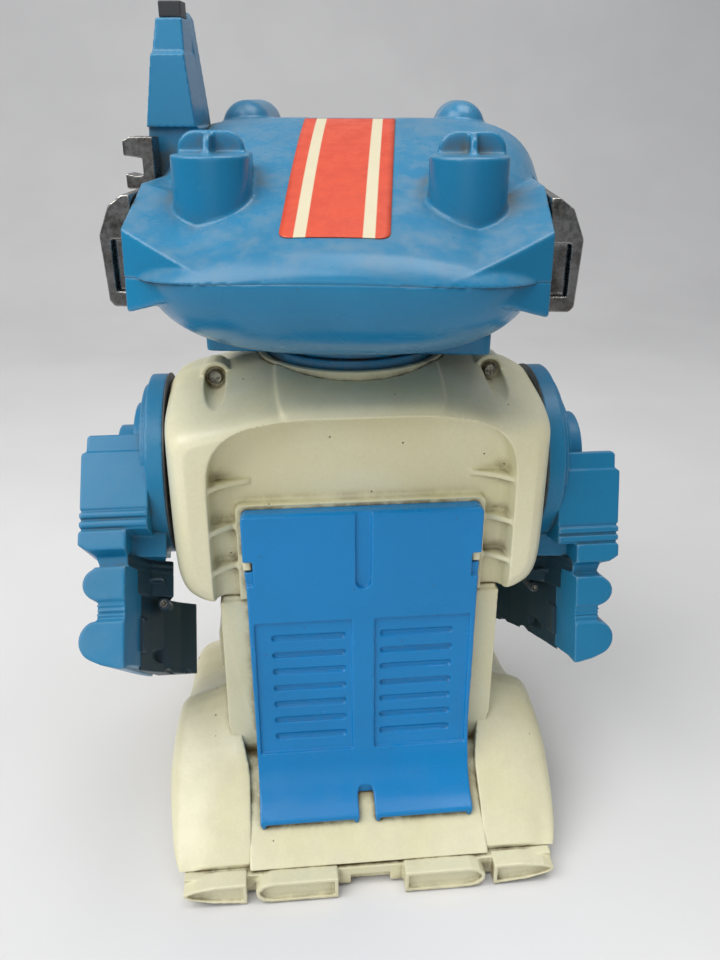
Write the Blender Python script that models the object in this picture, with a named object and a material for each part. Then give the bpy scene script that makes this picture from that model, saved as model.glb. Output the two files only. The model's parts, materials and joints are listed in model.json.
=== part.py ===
"""A toy robot on wheels, face towards -Y: every piece is its own object. Lengths below are millimetres."""

import math

import bmesh
import bpy
from mathutils import Matrix, Vector

MM = 0.001
GAP = 0.3

# Pose at rest
HEAD_TURN = -8.2
ARM_SWING_LEFT = 39.6
ARM_SWING_RIGHT = 14.2
NECK_Y = -5.0
SHOULDER_Y = 1.1
SHOULDER_Z = 188.8

# Head, measured from the neck axis
SEAM_Z = 297.0
HEAD_HALF = 87.0
BOWL_HALF = 81.0
HEAD_BACK = 119.5
HEAD_FRONT = 84.0
DOME_RISE = 53.0
BOWL_DROP = 37.0
SIDE_X = 79.0
POD_X = 48.5
POD_Y = 74.0
POD_R = 15.0
POD_TOP = 338.8
BLISTER_X = 50.0
BLISTER_R = 11.5
BLISTER_Z = 345.5
BLISTER_ENDS = (-58.0, -22.0)
STICKER_HALF = 20.0
JAW_HALF = 66.0
JAW_BACK = 30.0
JAW_BOTTOM = 250.3
RING_R = 42.0
SPINDLE_R = 12.0

# Torso
TORSO_HALF = 89.5
TORSO_BOTTOM = 136.5
TORSO_BACK = 62.0
TORSO_FRONT = -60.0
SEAM_Y = 2.0
PANEL_Y = 49.0
PAD_Y = 54.0
PANEL_HALF = 69.5
SCREW_X = 65.6
SCREW_Z = 238.0
SCREW_HEAD_Y = 15.0
STEP_X = 38.0

# Lower body, base and cover
COLUMN_TOP = 136.2
COLUMN_BOTTOM = 41.4
COLUMN_BACK = 52.0
COLUMN_FRONT = -40.0
DECK_HALF = 56.8
DECK_TOP = 41.0
COVER_TOP = 186.6
SLOT_ROWS = 7
SLOT_TOP = 121.3
SLOT_PITCH = 9.93
SLOT_IN = 8.4
SLOT_OUT = 44.3

# Wheels and drive
WHEEL_R = 17.0
WHEEL_IN = 69.0
WHEEL_OUT = 84.0
REAR_AXLE_Y = 55.0
FRONT_AXLE_Y = -45.0
AXLE_R = 2.5
GEAR_X = 12.0
GEAR_TEETH = 20
PINION_TEETH = 8
GEAR_MODULE = 1.15
PINION_Y = REAR_AXLE_Y - GEAR_MODULE * (GEAR_TEETH + PINION_TEETH) / 2

# Arm, measured from the shoulder axis
HUB_IN = 91.6
HUB_R = 45.0
ARM_BACK = 39.0
ARM_OUT = 128.0
HAND_IN = 107.0
HAND_PLATE_IN = 84.0
CLAW_Y = -45.5
CLAW_Z = -80.0

# Cells and tray
CELL_R = 13.0
CELL_LENGTH = 48.8
CELL_ROWS = (80.0, 109.0)
CELL_Y = 30.0

# Colours: name -> (red, green, blue, roughness, metallic)
CREAM = (0.76, 0.72, 0.54, 0.45, 0.0)
CREAM_DARK = (0.70, 0.65, 0.47, 0.5, 0.0)
BLUE = (0.045, 0.24, 0.42, 0.4, 0.0)
BLUE_BRIGHT = (0.03, 0.24, 0.52, 0.38, 0.0)
BLACK = (0.012, 0.014, 0.018, 0.5, 0.0)
CHROME = (0.42, 0.41, 0.38, 0.25, 1.0)
STEEL = (0.5, 0.48, 0.44, 0.35, 1.0)
ORANGE = (0.75, 0.12, 0.05, 0.5, 0.0)
RED_SMOKE = (0.12, 0.01, 0.01, 0.15, 0.0)
LENS = (0.8, 0.6, 0.1, 0.2, 0.0)
GREEN = (0.04, 0.2, 0.07, 0.5, 0.0)
COPPER = (0.6, 0.35, 0.15, 0.35, 1.0)
GREY = (0.25, 0.25, 0.25, 0.5, 0.2)
RUBBER = (0.02, 0.02, 0.02, 0.85, 0.0)


def clear_scene():
    for obj in list(bpy.data.objects):
        bpy.data.objects.remove(obj)


def new_collection(name):
    made = bpy.data.collections.new(name)
    bpy.context.scene.collection.children.link(made)
    return made


# The exact solver returns nothing for these two
MANIFOLD_NAMES = ("torso_rear_shell", "torso_front_shell")

clear_scene()
PARTS = new_collection("toy_robot")
CUTTERS = new_collection("cutters")


def add(name, bm, colour=None, parent=None):
    """An object from a bmesh in millimetres; with no colour it is a cutter or an operand."""
    bmesh.ops.recalc_face_normals(bm, faces=bm.faces)
    if bm.calc_volume(signed=True) < 0:
        bmesh.ops.reverse_faces(bm, faces=bm.faces)
    bmesh.ops.scale(bm, vec=(MM, MM, MM), verts=bm.verts)
    mesh = bpy.data.meshes.new(name)
    bm.to_mesh(mesh)
    bm.free()
    obj = bpy.data.objects.new(name, mesh)
    if colour is None:
        CUTTERS.objects.link(obj)
        obj.hide_render = True
        obj.display_type = "WIRE"
    else:
        PARTS.objects.link(obj)
        paint(obj, colour)
    if parent:
        obj.parent = parent
    return obj


def paint(obj, colour):
    material = bpy.data.materials.new(obj.name)
    material.use_nodes = True
    shader = material.node_tree.nodes["Principled BSDF"]
    shader.inputs["Base Color"].default_value = (*colour[:3], 1.0)
    shader.inputs["Roughness"].default_value = colour[3]
    shader.inputs["Metallic"].default_value = colour[4]
    obj.data.materials.append(material)


def pivot(name, x, y, z, turn=(0.0, 0.0, 0.0)):
    empty = bpy.data.objects.new(name, None)
    PARTS.objects.link(empty)
    empty.location = (x * MM, y * MM, z * MM)
    empty.rotation_euler = [math.radians(angle) for angle in turn]
    return empty


def box_mesh(x, y, z):
    bm = bmesh.new()
    bmesh.ops.create_cube(bm, size=1.0)
    size = (x[1] - x[0], y[1] - y[0], z[1] - z[0])
    bmesh.ops.scale(bm, vec=size, verts=bm.verts)
    bmesh.ops.translate(bm, vec=((x[0] + x[1]) / 2, (y[0] + y[1]) / 2, (z[0] + z[1]) / 2), verts=bm.verts)
    return bm


def turned_to(bm, axis, place):
    """Turns a shape made along +Z to lie along an axis, then moves it."""
    if axis == "X":
        bmesh.ops.rotate(bm, matrix=Matrix.Rotation(math.radians(90), 3, "Y"), verts=bm.verts)
    if axis == "Y":
        bmesh.ops.rotate(bm, matrix=Matrix.Rotation(math.radians(-90), 3, "X"), verts=bm.verts)
    bmesh.ops.translate(bm, vec=place, verts=bm.verts)
    return bm


def rod_mesh(axis, place, radius, length, segments=24, radius_far=None):
    """A cylinder or cone from place along an axis."""
    bm = bmesh.new()
    far = radius if radius_far is None else radius_far
    bmesh.ops.create_cone(bm, cap_ends=True, segments=segments, radius1=radius, radius2=far, depth=length)
    for face in bm.faces:
        face.smooth = len(face.verts) == 4
    bmesh.ops.translate(bm, vec=(0, 0, length / 2), verts=bm.verts)
    return turned_to(bm, axis, place)


def outline_mesh(points, low, high, axis):
    """A flat outline extruded from low to high: (x, y) along Z, (x, z) along Y or (y, z) along X."""
    curve = bpy.data.curves.new("outline", "CURVE")
    curve.dimensions = "2D"
    curve.fill_mode = "BOTH"
    curve.extrude = (high - low) / 2
    spline = curve.splines.new("POLY")
    spline.points.add(len(points) - 1)
    for point, (a, b) in zip(spline.points, points):
        point.co = (a, b, 0, 1)
    spline.use_cyclic_u = True
    flat = bpy.data.objects.new("outline", curve)
    CUTTERS.objects.link(flat)
    graph = bpy.context.evaluated_depsgraph_get()
    mesh = bpy.data.meshes.new_from_object(flat.evaluated_get(graph))
    bpy.data.objects.remove(flat)
    bm = bmesh.new()
    bm.from_mesh(mesh)
    bmesh.ops.remove_doubles(bm, verts=bm.verts, dist=0.0001)
    bmesh.ops.translate(bm, vec=(0, 0, (low + high) / 2), verts=bm.verts)
    for vert in bm.verts:
        a, b, along = vert.co
        vert.co = {"X": (along, a, b), "Y": (a, along, b), "Z": (a, b, along)}[axis]
    return bm


def mirrored(points):
    """A right half outline, listed from the middle round to the middle, made whole."""
    return list(points) + [(-a, b) for a, b in reversed(points) if a]


def rounded(points, radius, steps=3):
    """The outline with each corner rounded."""
    made = []
    count = len(points)
    for i, here in enumerate(points):
        here = Vector(here)
        before = Vector(points[i - 1]) - here
        after = Vector(points[(i + 1) % count]) - here
        reach = min(radius, before.length * 0.45, after.length * 0.45)
        start = here + before.normalized() * reach
        end = here + after.normalized() * reach
        for step in range(steps + 1):
            t = step / steps
            made.append(tuple(start * (1 - t) ** 2 + here * 2 * t * (1 - t) + end * t**2))
    return made


def loft_mesh(rings):
    """Rings of equal count joined in order, with flat ends."""
    bm = bmesh.new()
    loops = [[bm.verts.new(point) for point in ring] for ring in rings]
    count = len(loops[0])
    for first, second in zip(loops, loops[1:]):
        for i in range(count):
            j = (i + 1) % count
            bm.faces.new((first[i], first[j], second[j], second[i]))
    bm.faces.new(loops[0])
    bm.faces.new(loops[-1])
    bmesh.ops.triangulate(bm, faces=bm.faces)
    return bm


def hull_mesh(points):
    bm = bmesh.new()
    for point in points:
        bm.verts.new(point)
    made = bmesh.ops.convex_hull(bm, input=bm.verts)
    spare = {item for item in made["geom_interior"] + made["geom_unused"] if isinstance(item,
        bmesh.types.BMVert)}
    bmesh.ops.delete(bm, geom=list(spare), context="VERTS")
    return bm


def combine(obj, operation, operands):
    for count, bm in enumerate(operands):
        other = add(f"{obj.name}_{operation.lower()}_{len(obj.modifiers)}_{count}", bm)
        other.parent = obj.parent
        modifier = obj.modifiers.new(operation, "BOOLEAN")
        modifier.operation = operation
        modifier.solver = "MANIFOLD" if obj.name in MANIFOLD_NAMES else "EXACT"
        modifier.object = other
    return obj


def cut(obj, *operands):
    return combine(obj, "DIFFERENCE", operands)


def join(obj, *operands):
    return combine(obj, "UNION", operands)


def plan_share(y):
    """Half-width of the head's outline at y, as a share of its greatest."""
    reach = HEAD_BACK if y > 0 else HEAD_FRONT
    return max(0.0, 1 - (abs(y) / reach) ** 4) ** 0.25


def dome_ring_z(y, side):
    """Height of the dome above the seam; side runs from 0 on the middle line to 1 at the edge."""
    if y > 0:
        crown = 0.12 + 0.88 * (1 - (y / HEAD_BACK) ** 1.2) ** 0.9
        power = max(2.5, 6 - 3.5 * y / 85)
    else:
        crown = (1 - (-y / HEAD_FRONT) ** 4) ** 0.5
        power = 6 - y / HEAD_FRONT
    return DOME_RISE * crown * (1 - side**power) ** (2 / power)


def bowl_ring_z(y, side):
    flat_back, flat_front = 50.0, -38.0
    fall = 1.0
    if y > flat_back:
        fall = math.sqrt(max(0.0, 1 - ((y - flat_back) / (HEAD_BACK - flat_back)) ** 2))
    if y < flat_front:
        fall = math.sqrt(max(0.0, 1 - ((flat_front - y) / (HEAD_FRONT + flat_front)) ** 2))
    return -BOWL_DROP * fall * (1 - side**3) ** 0.5


def shell_surface(height, base_z, half_width, scale=1.0):
    """An open surface over the head's outline; scale shrinks it towards the middle for the inside face."""
    bm = bmesh.new()
    rows = [-HEAD_FRONT * math.sin(math.radians(a)) for a in (90, 76, 60, 42, 22)]
    rows += [HEAD_BACK * math.sin(math.radians(a)) for a in (0, 11, 22, 34, 46, 58, 70, 80, 90)]
    sides = [math.sin(math.radians(a)) for a in (-90, -80, -69, -57, -44, -30, -15, 0, 15, 30, 44, 57, 69,
        80, 90)]
    grid = []
    for y in rows:
        half = half_width * plan_share(y)
        line = []
        for s in sides:
            rise = height(y, abs(s)) if half > 0.5 else 0.0
            line.append(bm.verts.new((half * s * scale, y * scale, base_z + rise * scale)))
        grid.append(line)
    for first, second in zip(grid, grid[1:]):
        for i in range(len(sides) - 1):
            bm.faces.new((first[i], first[i + 1], second[i + 1], second[i])).smooth = True
    bmesh.ops.remove_doubles(bm, verts=bm.verts, dist=0.01)
    return bm


def closed_shell(height, base_z, half_width, scale=1.0):
    """The surface closed by a flat lid at its rim."""
    bm = shell_surface(height, base_z, half_width, scale)
    rim = [edge for edge in bm.edges if edge.is_boundary]
    bmesh.ops.contextual_create(bm, geom=rim)
    bmesh.ops.triangulate(bm, faces=bm.faces)
    return bm


def flare_mesh(side, low, high):
    """The faceted corner at one side of the head, kept between two heights."""
    corners = [
        (43.6, 118.6, 303.6),
        (43.6, 118.0, 293.0),
        (SIDE_X, 94.5, 314.5),
        (SIDE_X, 97.5, 284.0),
        (SIDE_X, 62.0, 327.5),
        (SIDE_X, 20.0, 327.5),
        (SIDE_X, 20.0, 284.0),
        (52.0, 70.0, 322.0),
        (52.0, 20.0, 322.0),
        (52.0, 80.0, 287.0),
        (52.0, 20.0, 287.0),
    ]
    bm = hull_mesh([(side * x, y, z) for x, y, z in corners])
    for level, keep in ((low, 1), (high, -1)):
        geom = list(bm.verts) + list(bm.edges) + list(bm.faces)
        cut_by = bmesh.ops.bisect_plane(bm, geom=geom, plane_co=(0, 0, level), plane_no=(0, 0, -keep),
            clear_outer=True)
        edges = [item for item in cut_by["geom_cut"] if isinstance(item, bmesh.types.BMEdge)]
        if edges:
            bmesh.ops.contextual_create(bm, geom=edges)
    return bm


def pod_mesh(side):
    arc = [(POD_R * math.cos(math.radians(a)), 12 * math.sin(math.radians(a))) for a in range(0, 181, 20)]
    points = [(side * POD_X + x, POD_Y + y) for x, y in arc]
    points += [(side * POD_X - POD_R + 2, 54), (side * POD_X + POD_R - 2, 54)]
    return outline_mesh(points, 299.5, POD_TOP, "Z")


def pod_plate_mesh(side):
    middle = side * (POD_X + 1.5)
    top = [(middle + 13 * math.cos(math.radians(a)),
        POD_TOP - 1 + 8 * math.sin(math.radians(a))) for a in range(15, 166, 30)]
    return outline_mesh([(middle + 13, POD_TOP - 3)] + top + [(middle - 13, POD_TOP - 3)], 62, 65, "Y")


def pod_rib_mesh(side):
    middle = side * (POD_X + 1.5)
    points = [(64, POD_TOP - 3), (75, POD_TOP - 3), (73, POD_TOP + 2.5), (69, POD_TOP + 5),
        (64, POD_TOP + 5.5)]
    return outline_mesh(points, middle - 1.3, middle + 1.3, "X")


def blister_mesh(side):
    bm = bmesh.new()
    bmesh.ops.create_uvsphere(bm, u_segments=12, v_segments=8, radius=BLISTER_R)
    bmesh.ops.rotate(bm, matrix=Matrix.Rotation(math.radians(90), 3, "X"), verts=bm.verts)
    for vert in bm.verts:
        vert.co.y += BLISTER_ENDS[vert.co.y > 0.1]
        vert.co += Vector((side * BLISTER_X, 0, BLISTER_Z))
    return bm


TOWER_SECTIONS = (
    # z, x in, x out, y front, y back
    (318.0, 63.0, 87.5, -4.0, 22.0),
    (346.0, 63.5, 85.6, -4.0, 21.0),
    (346.5, 64.5, 85.6, -4.0, 24.0),
    (374.5, 68.0, 82.2, -2.0, 21.0),
    (375.5, 68.5, 82.0, -2.0, 18.0),
    (388.2, 69.0, 80.0, -1.0, 16.0),
)
WEB_SECTIONS = (
    (330.0, 63.8, 86.0, -10.0, -3.0), (350.0, 65.2, 84.0, -10.0, -1.0), (389.0, 69.5, 78.0, -9.0, 1.0),
    (391.6, 71.0, 76.5, -8.0, 0.0),
)


def tapered_mesh(sections, grow=0.0):
    rings = []
    for z, x0, x1, y0, y1 in sections:
        x0, x1, y0, y1 = x0 - grow, x1 + grow, y0 - grow, y1 + grow
        rings.append([(x0, y0, z), (x1, y0, z), (x1, y1, z), (x0, y1, z)])
    if grow:
        rings[0] = [(x, y, z - grow) for x, y, z in rings[0]]
    return loft_mesh(rings)


def head(turning):
    upper = add("head_upper_shell", closed_shell(dome_ring_z, SEAM_Z + GAP / 2, HEAD_HALF), BLUE, turning)
    cut(upper, box_mesh((SIDE_X, 100), (24, 125), (280, 345)), box_mesh((-100, -SIDE_X), (24, 125),
        (280, 345)))
    for side in (1, -1):
        join(upper, flare_mesh(side, SEAM_Z + GAP / 2, 340), pod_mesh(side), blister_mesh(side))
        join(upper, pod_plate_mesh(side), pod_rib_mesh(side))
    cut(upper, closed_shell(dome_ring_z, SEAM_Z - 1.5, HEAD_HALF, 0.963))
    cut(upper, tapered_mesh(TOWER_SECTIONS, GAP), tapered_mesh(WEB_SECTIONS, GAP))
    cut(upper, box_mesh((-56, 56), (-100, -74), (305, 331)))

    lower = add("head_lower_shell", closed_shell(bowl_ring_z, SEAM_Z - GAP / 2, BOWL_HALF), BLUE, turning)
    cut(lower, box_mesh((SIDE_X, 100), (24, 125), (280, 345)), box_mesh((-100, -SIDE_X), (24, 125),
        (280, 345)))
    join(lower, flare_mesh(1, 240, SEAM_Z - GAP / 2), flare_mesh(-1, 240, SEAM_Z - GAP / 2))
    cut(lower, closed_shell(bowl_ring_z, SEAM_Z + 1.5, BOWL_HALF, 0.963))
    cut(lower, rod_mesh("Z", (0, 0, 250), SPINDLE_R + GAP, 30))

    jaw_outline = rounded([(JAW_HALF, JAW_BACK), (JAW_HALF, -52), (-JAW_HALF, -52), (-JAW_HALF, JAW_BACK)],
        4)
    jaw = add("jaw_plate", outline_mesh(jaw_outline, JAW_BOTTOM, SEAM_Z - BOWL_DROP - 0.5, "Z"), BLUE,
        turning)
    pocket = rounded([(JAW_HALF - 3, JAW_BACK - 3), (JAW_HALF - 3, -49), (3 - JAW_HALF, -49),
        (3 - JAW_HALF, JAW_BACK - 3)], 4)
    cut(jaw, outline_mesh(pocket, 240, JAW_BOTTOM + 5, "Z"))
    join(jaw, rod_mesh("Z", (0, 0, JAW_BOTTOM), RING_R - 2, 7, 32))
    cut(jaw, rod_mesh("Z", (0, 0, 240), SPINDLE_R + GAP, 40))
    ring = add("neck_ring", rod_mesh("Z", (0, 0, 243.6), RING_R, 6.4, 40), BLUE, turning)
    join(ring, rod_mesh("Z", (0, 0, 226), SPINDLE_R, 50))
    join(ring, rod_mesh("Z", (0, 0, 224), SPINDLE_R + 5, 4))

    strip = [add_sticker_row(y) for y in (102.5, 95, 86, 74, 62, 50, 38, 26, 14, 2)]
    corners = [(-STICKER_HALF, 0.35), (STICKER_HALF, 0.35), (STICKER_HALF, 1.1), (-STICKER_HALF, 1.1)]
    rings = [[(x, y, z + lift) for x, lift in corners] for y, z in strip]
    add("head_sticker", loft_mesh(rings), ORANGE, turning)
    ears(turning)
    face(turning)


def add_sticker_row(y):
    return y, SEAM_Z + dome_ring_z(y, 0.0)


def ears(turning):
    outline = [(SIDE_X + GAP, 282), (SIDE_X + GAP, 324.5), (82.5, 324.5), (88, 320.5), (92.6, 309.5),
        (91.4, 284), (89.5, 282)]
    for name, side in (("left", 1), ("right", -1)):
        points = [(side * x, z) for x, z in outline]
        ear = add(f"ear_{name}", outline_mesh(points, 36, 79, "Y"), CHROME, turning)
        cut(ear, box_mesh(sorted((side * 76, side * 88)), (75, 82), (288, 308)))
    clip = [(84, 321.8), (96.6, 321.8), (96.6, 328), (92, 327), (89, 327.5), (89, 334)]
    clip += [(92, 334.5), (96.8, 335), (96.8, 341), (94, 342.4), (84, 342.4)]
    add("tower_tip", box_mesh((69.8, 79.2), (3, 13), (388.5, 394.7)), BLACK, turning)
    tower = add("tower", tapered_mesh(TOWER_SECTIONS), BLUE, turning)
    join(tower, tapered_mesh(WEB_SECTIONS))
    add("ear_clip", outline_mesh([(x - 3.5, z + 0.6) for x, z in clip], 24.5, 35.5, "Y"), CHROME, turning)


def face(turning):
    add("visor", box_mesh((-55.6, 55.6), (-80, -74.5), (305.4, 330.6)), RED_SMOKE, turning)
    for name, x in (("left", 24), ("right", -24)):
        add(f"eye_{name}", rod_mesh("Y", (x, -83, 318), 9, 2.7, 20), LENS, turning)


TORSO_OUTLINE = [
    (0, 249.0), (STEP_X, 248.0), (STEP_X + 0.4, 247.0), (60, 242.5), (80, 237.0), (87, 231.0), (TORSO_HALF,
        220.0),
    (TORSO_HALF, 165.0), (88.6, 152.0), (86, 144.0), (80.5, 139.0), (73, TORSO_BOTTOM),
]


def torso_ring(y, inset, drop, lift):
    """The torso's outline at y, drawn in at the sides, lowered at the top and raised at the bottom."""
    ring = []
    for x, z in mirrored(TORSO_OUTLINE):
        top = min(1.0, max(0.0, (z - 200) / 40))
        low = min(1.0, max(0.0, (165 - z) / 25))
        ring.append((x * (1 - inset / TORSO_HALF), y, z - drop * top + lift * low))
    return ring


def half_outline_inside(high):
    return mirrored([(20, high), (60, high - 6), (80, 224), (85, 214), (85, 172), (82, 152), (74, 143.5),
        (20, 140.5)])


def torso():
    back = add("torso_rear_shell", loft_mesh([
        torso_ring(SEAM_Y + GAP / 2, 0, 0, 0), torso_ring(22, 0.6, 2.5, 0), torso_ring(38, 1.5, 6, 0),
        torso_ring(52, 3.5, 10, 1.5), torso_ring(59, 6.5, 13, 4), torso_ring(TORSO_BACK, 11, 17, 8),
    ]), CREAM)
    cut(back, outline_mesh(half_outline_inside(236), -5, PANEL_Y - 3.5, "Y"))
    recess = mirrored([(15, 232.0), (35, 230.8), (52, 227.5), (61, 223.0), (67, 215.0), (PANEL_HALF, 203.0),
        (PANEL_HALF, 120.0)])
    cut(back, outline_mesh(recess, PANEL_Y, 80, "Y"))
    join(back, box_mesh((-58.5, 58.5), (PANEL_Y - 1, PAD_Y), (138.5, 188.6)))
    for side in (1, -1):
        join(back, box_mesh(sorted((side * 51.9, side * 56)), (PAD_Y - 1, PAD_Y + 6), (157.3, 162.7)))
    for side in (1, -1):
        channel = rod_mesh("Y", (0, 0, 0), 7.8, 60, 16)
        bmesh.ops.rotate(channel, matrix=Matrix.Rotation(math.radians(7), 3, "X"), verts=channel.verts)
        bmesh.ops.translate(channel, vec=(side * SCREW_X, SCREW_HEAD_Y - 1.3, SCREW_Z), verts=channel.verts)
        join(back, rod_mesh("Y", (side * SCREW_X, SEAM_Y + 1.1, SCREW_Z), 10.5, 15.5, 20))
        cut(back, channel, rod_mesh("Y", (side * SCREW_X, -5, SCREW_Z), 1.9, 40, 12))
        for z in (199.0, 177.5, 157.0):
            gusset = [(71, 60.5), (68.8, 59), (64, 54.5), (59, 51.5), (53, 49.8), (53, 47), (71, 47)]
            gusset = [(side * x, y) for x, y in gusset]
            join(back, outline_mesh(gusset, z - 1.1, z + 1.1, "Z"))
    front = add("torso_front_shell", loft_mesh([
        torso_ring(SEAM_Y - GAP / 2, 0, 0, 0), torso_ring(-20, 0.6, 2.5, 0), torso_ring(-36, 1.5, 6, 0),
        torso_ring(-50, 3.5, 10, 1.5), torso_ring(-57, 6.5, 13, 4), torso_ring(TORSO_FRONT, 11, 17, 8),
    ]), CREAM)
    cut(front, outline_mesh(half_outline_inside(236), -56.5, 5, "Y"))
    chest = [(52, 222), (52, 158), (-52, 158), (-52, 222)]
    cut(front, outline_mesh(rounded(chest, 6), -80, -58.5, "Y"))
    cut(front, box_mesh((18.5, 37.5), (-70, -50), (167.5, 176.5)))
    for side in (1, -1):
        join(front, rod_mesh("Y", (side * SCREW_X, -14, SCREW_Z), 7.5, 15, 16, 9.5))
        cut(front, rod_mesh("Y", (side * SCREW_X, -20, SCREW_Z), 1.9, 40, 12))
    for shell in (back, front):
        cut(shell, rod_mesh("X", (-120, SHOULDER_Y, SHOULDER_Z), 9.6, 240, 24))
        cut(shell, rod_mesh("Z", (0, NECK_Y, 225), SPINDLE_R + 0.6, 40, 24))
        cut(shell, rod_mesh("Z", (0, NECK_Y, 241), 46.3, 20, 40))
        cut(shell, box_mesh((-44, 44), (-32, 30), (120, 150)))
    collar = add("neck_collar", rod_mesh("Z", (0, NECK_Y, 241 + GAP), 46, 5, 40), CREAM)
    cut(collar, rod_mesh("Z", (0, NECK_Y, 243.3), RING_R + 0.5, 10, 40), rod_mesh("Z", (0, NECK_Y, 230),
        SPINDLE_R + 0.6, 30, 24))
    for name, side in (("left", 1), ("right", -1)):
        screw = add(f"shell_screw_{name}", rod_mesh("Y", (side * SCREW_X, SCREW_HEAD_Y - 0.1, SCREW_Z), 3.6,
            2.4, 20, 2.6), STEEL)
        join(screw, rod_mesh("Y", (side * SCREW_X, -12, SCREW_Z), 1.5, 28, 12))
        cut(screw, box_mesh((side * SCREW_X - 2, side * SCREW_X + 2), (16.2, 20),
            (SCREW_Z - 0.4, SCREW_Z + 0.4)))
        cut(screw, box_mesh((side * SCREW_X - 0.4, side * SCREW_X + 0.4), (16.2, 20),
            (SCREW_Z - 2, SCREW_Z + 2)))
        washer = add(f"shoulder_washer_{name}", rod_mesh("X", (side * 90.6 - 0.7, SHOULDER_Y, SHOULDER_Z),
            HUB_R - 0.6, 1.4, 40), BLACK)
        cut(washer, rod_mesh("X", (side * 90.6 - 5, SHOULDER_Y, SHOULDER_Z), 9.6, 10, 24))


def column_half(z):
    """Half-width of the lower body at a height."""
    return 53.5 + (z - COLUMN_BOTTOM) * (68.3 - 53.5) / (COLUMN_TOP - COLUMN_BOTTOM)


def lower_body():
    rings = []
    for z in (COLUMN_BOTTOM, COLUMN_TOP):
        half = column_half(z)
        rings.append([(half, COLUMN_FRONT, z), (half, COLUMN_BACK, z), (-half, COLUMN_BACK, z),
            (-half, COLUMN_FRONT, z)])
    body = add("lower_body", loft_mesh(rings), CREAM_DARK)
    for side in (1, -1):
        strut = [(side * 50, 106), (side * 71, 100), (side * 74, 92), (side * 74, 69.6), (side * 50, 69.6)]
        join(body, outline_mesh(strut, -24, 12, "Y"))
    cut(body, box_mesh((-50.6, 50.6), (9, 60), (64, 126)))
    duct = []
    for z in (COLUMN_BOTTOM - 10, COLUMN_TOP + 10):
        half = column_half(z) - 3.5
        duct.append([(half, -36.5, z), (half, 5, z), (-half, 5, z), (-half, -36.5, z)])
    cut(body, loft_mesh(duct))
    tray = add("battery_tray", box_mesh((-50.3, 50.3), (9.4, 49.5), (64.4, 125.6)), BLACK)
    cut(tray, box_mesh((-49.2, 49.2), (14.5, 60), (66.4, 123.6)))
    for row, z in enumerate(CELL_ROWS):
        for column, start in enumerate((-49.0, 49.0 - CELL_LENGTH)):
            cell = add(f"cell_{row}_{column}", rod_mesh("X", (start, CELL_Y, z), CELL_R, CELL_LENGTH - 1.6,
                20), COPPER)
            join(cell, rod_mesh("X", (start + CELL_LENGTH - 3, CELL_Y, z), 3, 3, 12))


COVER_LINE = [(60.0, COVER_TOP), (61.7, COVER_TOP - 1.6), (62.8, 131.5), (64.2, 83.0), (65.2, 64.0),
    (67.9, 52.4), (73.0, 41.5), (80.0, 34.5), (88.0, 30.0)]


def cover_face(high, low, depth):
    """A cutter outline that follows the cover's back face between two heights, sunk by depth."""
    line = [point for point in COVER_LINE if low < point[1] < high]
    ends = []
    for z in (high, low):
        for (y0, z0), (y1, z1) in zip(COVER_LINE, COVER_LINE[1:]):
            if z1 <= z <= z0:
                ends.append((y0 + (y1 - y0) * (z0 - z) / (z0 - z1), z))
    face = [ends[0]] + line + [ends[-1]]
    return [(y - depth, z) for y, z in face] + [(80, low), (80, high)]


def battery_cover():
    seat = [(88.4, 27.5), (84.5, 27.6), (63.0, 42.2), (COLUMN_BACK + GAP, 42.2), (COLUMN_BACK + GAP, 137.6),
        (PAD_Y + GAP, 137.6),
            (PAD_Y + GAP, COVER_TOP)]
    cover = add("battery_cover", outline_mesh(COVER_LINE + seat, -56, 56, "X"), BLUE_BRIGHT)
    inner = [(y - 2.5, z) for y, z in COVER_LINE[2:]]
    inner = [(58.2, COVER_TOP - 2.5)] + inner[:-1] + [(84.0, 29.6), (83.8, 20.0), (40.0, 20.0),
        (40.0, COVER_TOP - 2.5)]
    cut(cover, outline_mesh(inner, -53, 53, "X"))
    for side in (1, -1):
        taper = [(side * 56, 163.0), (side * 54.9, 148.0), (side * 54.2, 60.0), (side * 53.4, 20.0),
            (side * 70, 20.0), (side * 70, 163.0)]
        cut(cover, outline_mesh(taper, 30, 100, "Y"))
        cut(cover, box_mesh(sorted((side * 51.6, side * 60)), (40, 70), (157.0, 163.0)))
        cut(cover, box_mesh(sorted((side * 51.6, side * 60)), (61.4, 70), (150.5, 158.0)))
        low, high = sorted((side * 5.5, side * 52.2))
        cut(cover, outline_mesh(cover_face(132.0, 54.5, 0.8), low, high, "X"))
        low, high = sorted((side * SLOT_IN, side * SLOT_OUT))
        for row in range(SLOT_ROWS):
            z = SLOT_TOP - row * SLOT_PITCH
            cut(cover, outline_mesh(cover_face(z + 1.6, z - 1.6, 1.8), low, high, "X"))
    cut(cover, box_mesh((-3.7, 3.7), (60.6, 80), (151, 200)))
    notch = [(3.8, 20), (3.8, 35.5), (2.2, 38.5), (-2.2, 38.5), (-3.8, 35.5), (-3.8, 20)]
    cut(cover, outline_mesh(notch, 60, 100, "Y"))


DECK_LINE = [(103.5, 13.4), (84.0, 26.6), (62.0, DECK_TOP), (-62.0, DECK_TOP), (-86.0, 18.0), (-88.0, 13.4)]


def base_deck():
    under = [(-84.5, 13.4), (-82.5, 17.0), (-61.0, 38.0), (61.0, 38.0), (82.5, 24.0), (98.5, 13.4)]
    deck = add("base_deck", outline_mesh(DECK_LINE + under, -DECK_HALF, DECK_HALF, "X"), CREAM)
    cut(deck, box_mesh((-42, 42), (-34, 3), (30, 50)))


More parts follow.
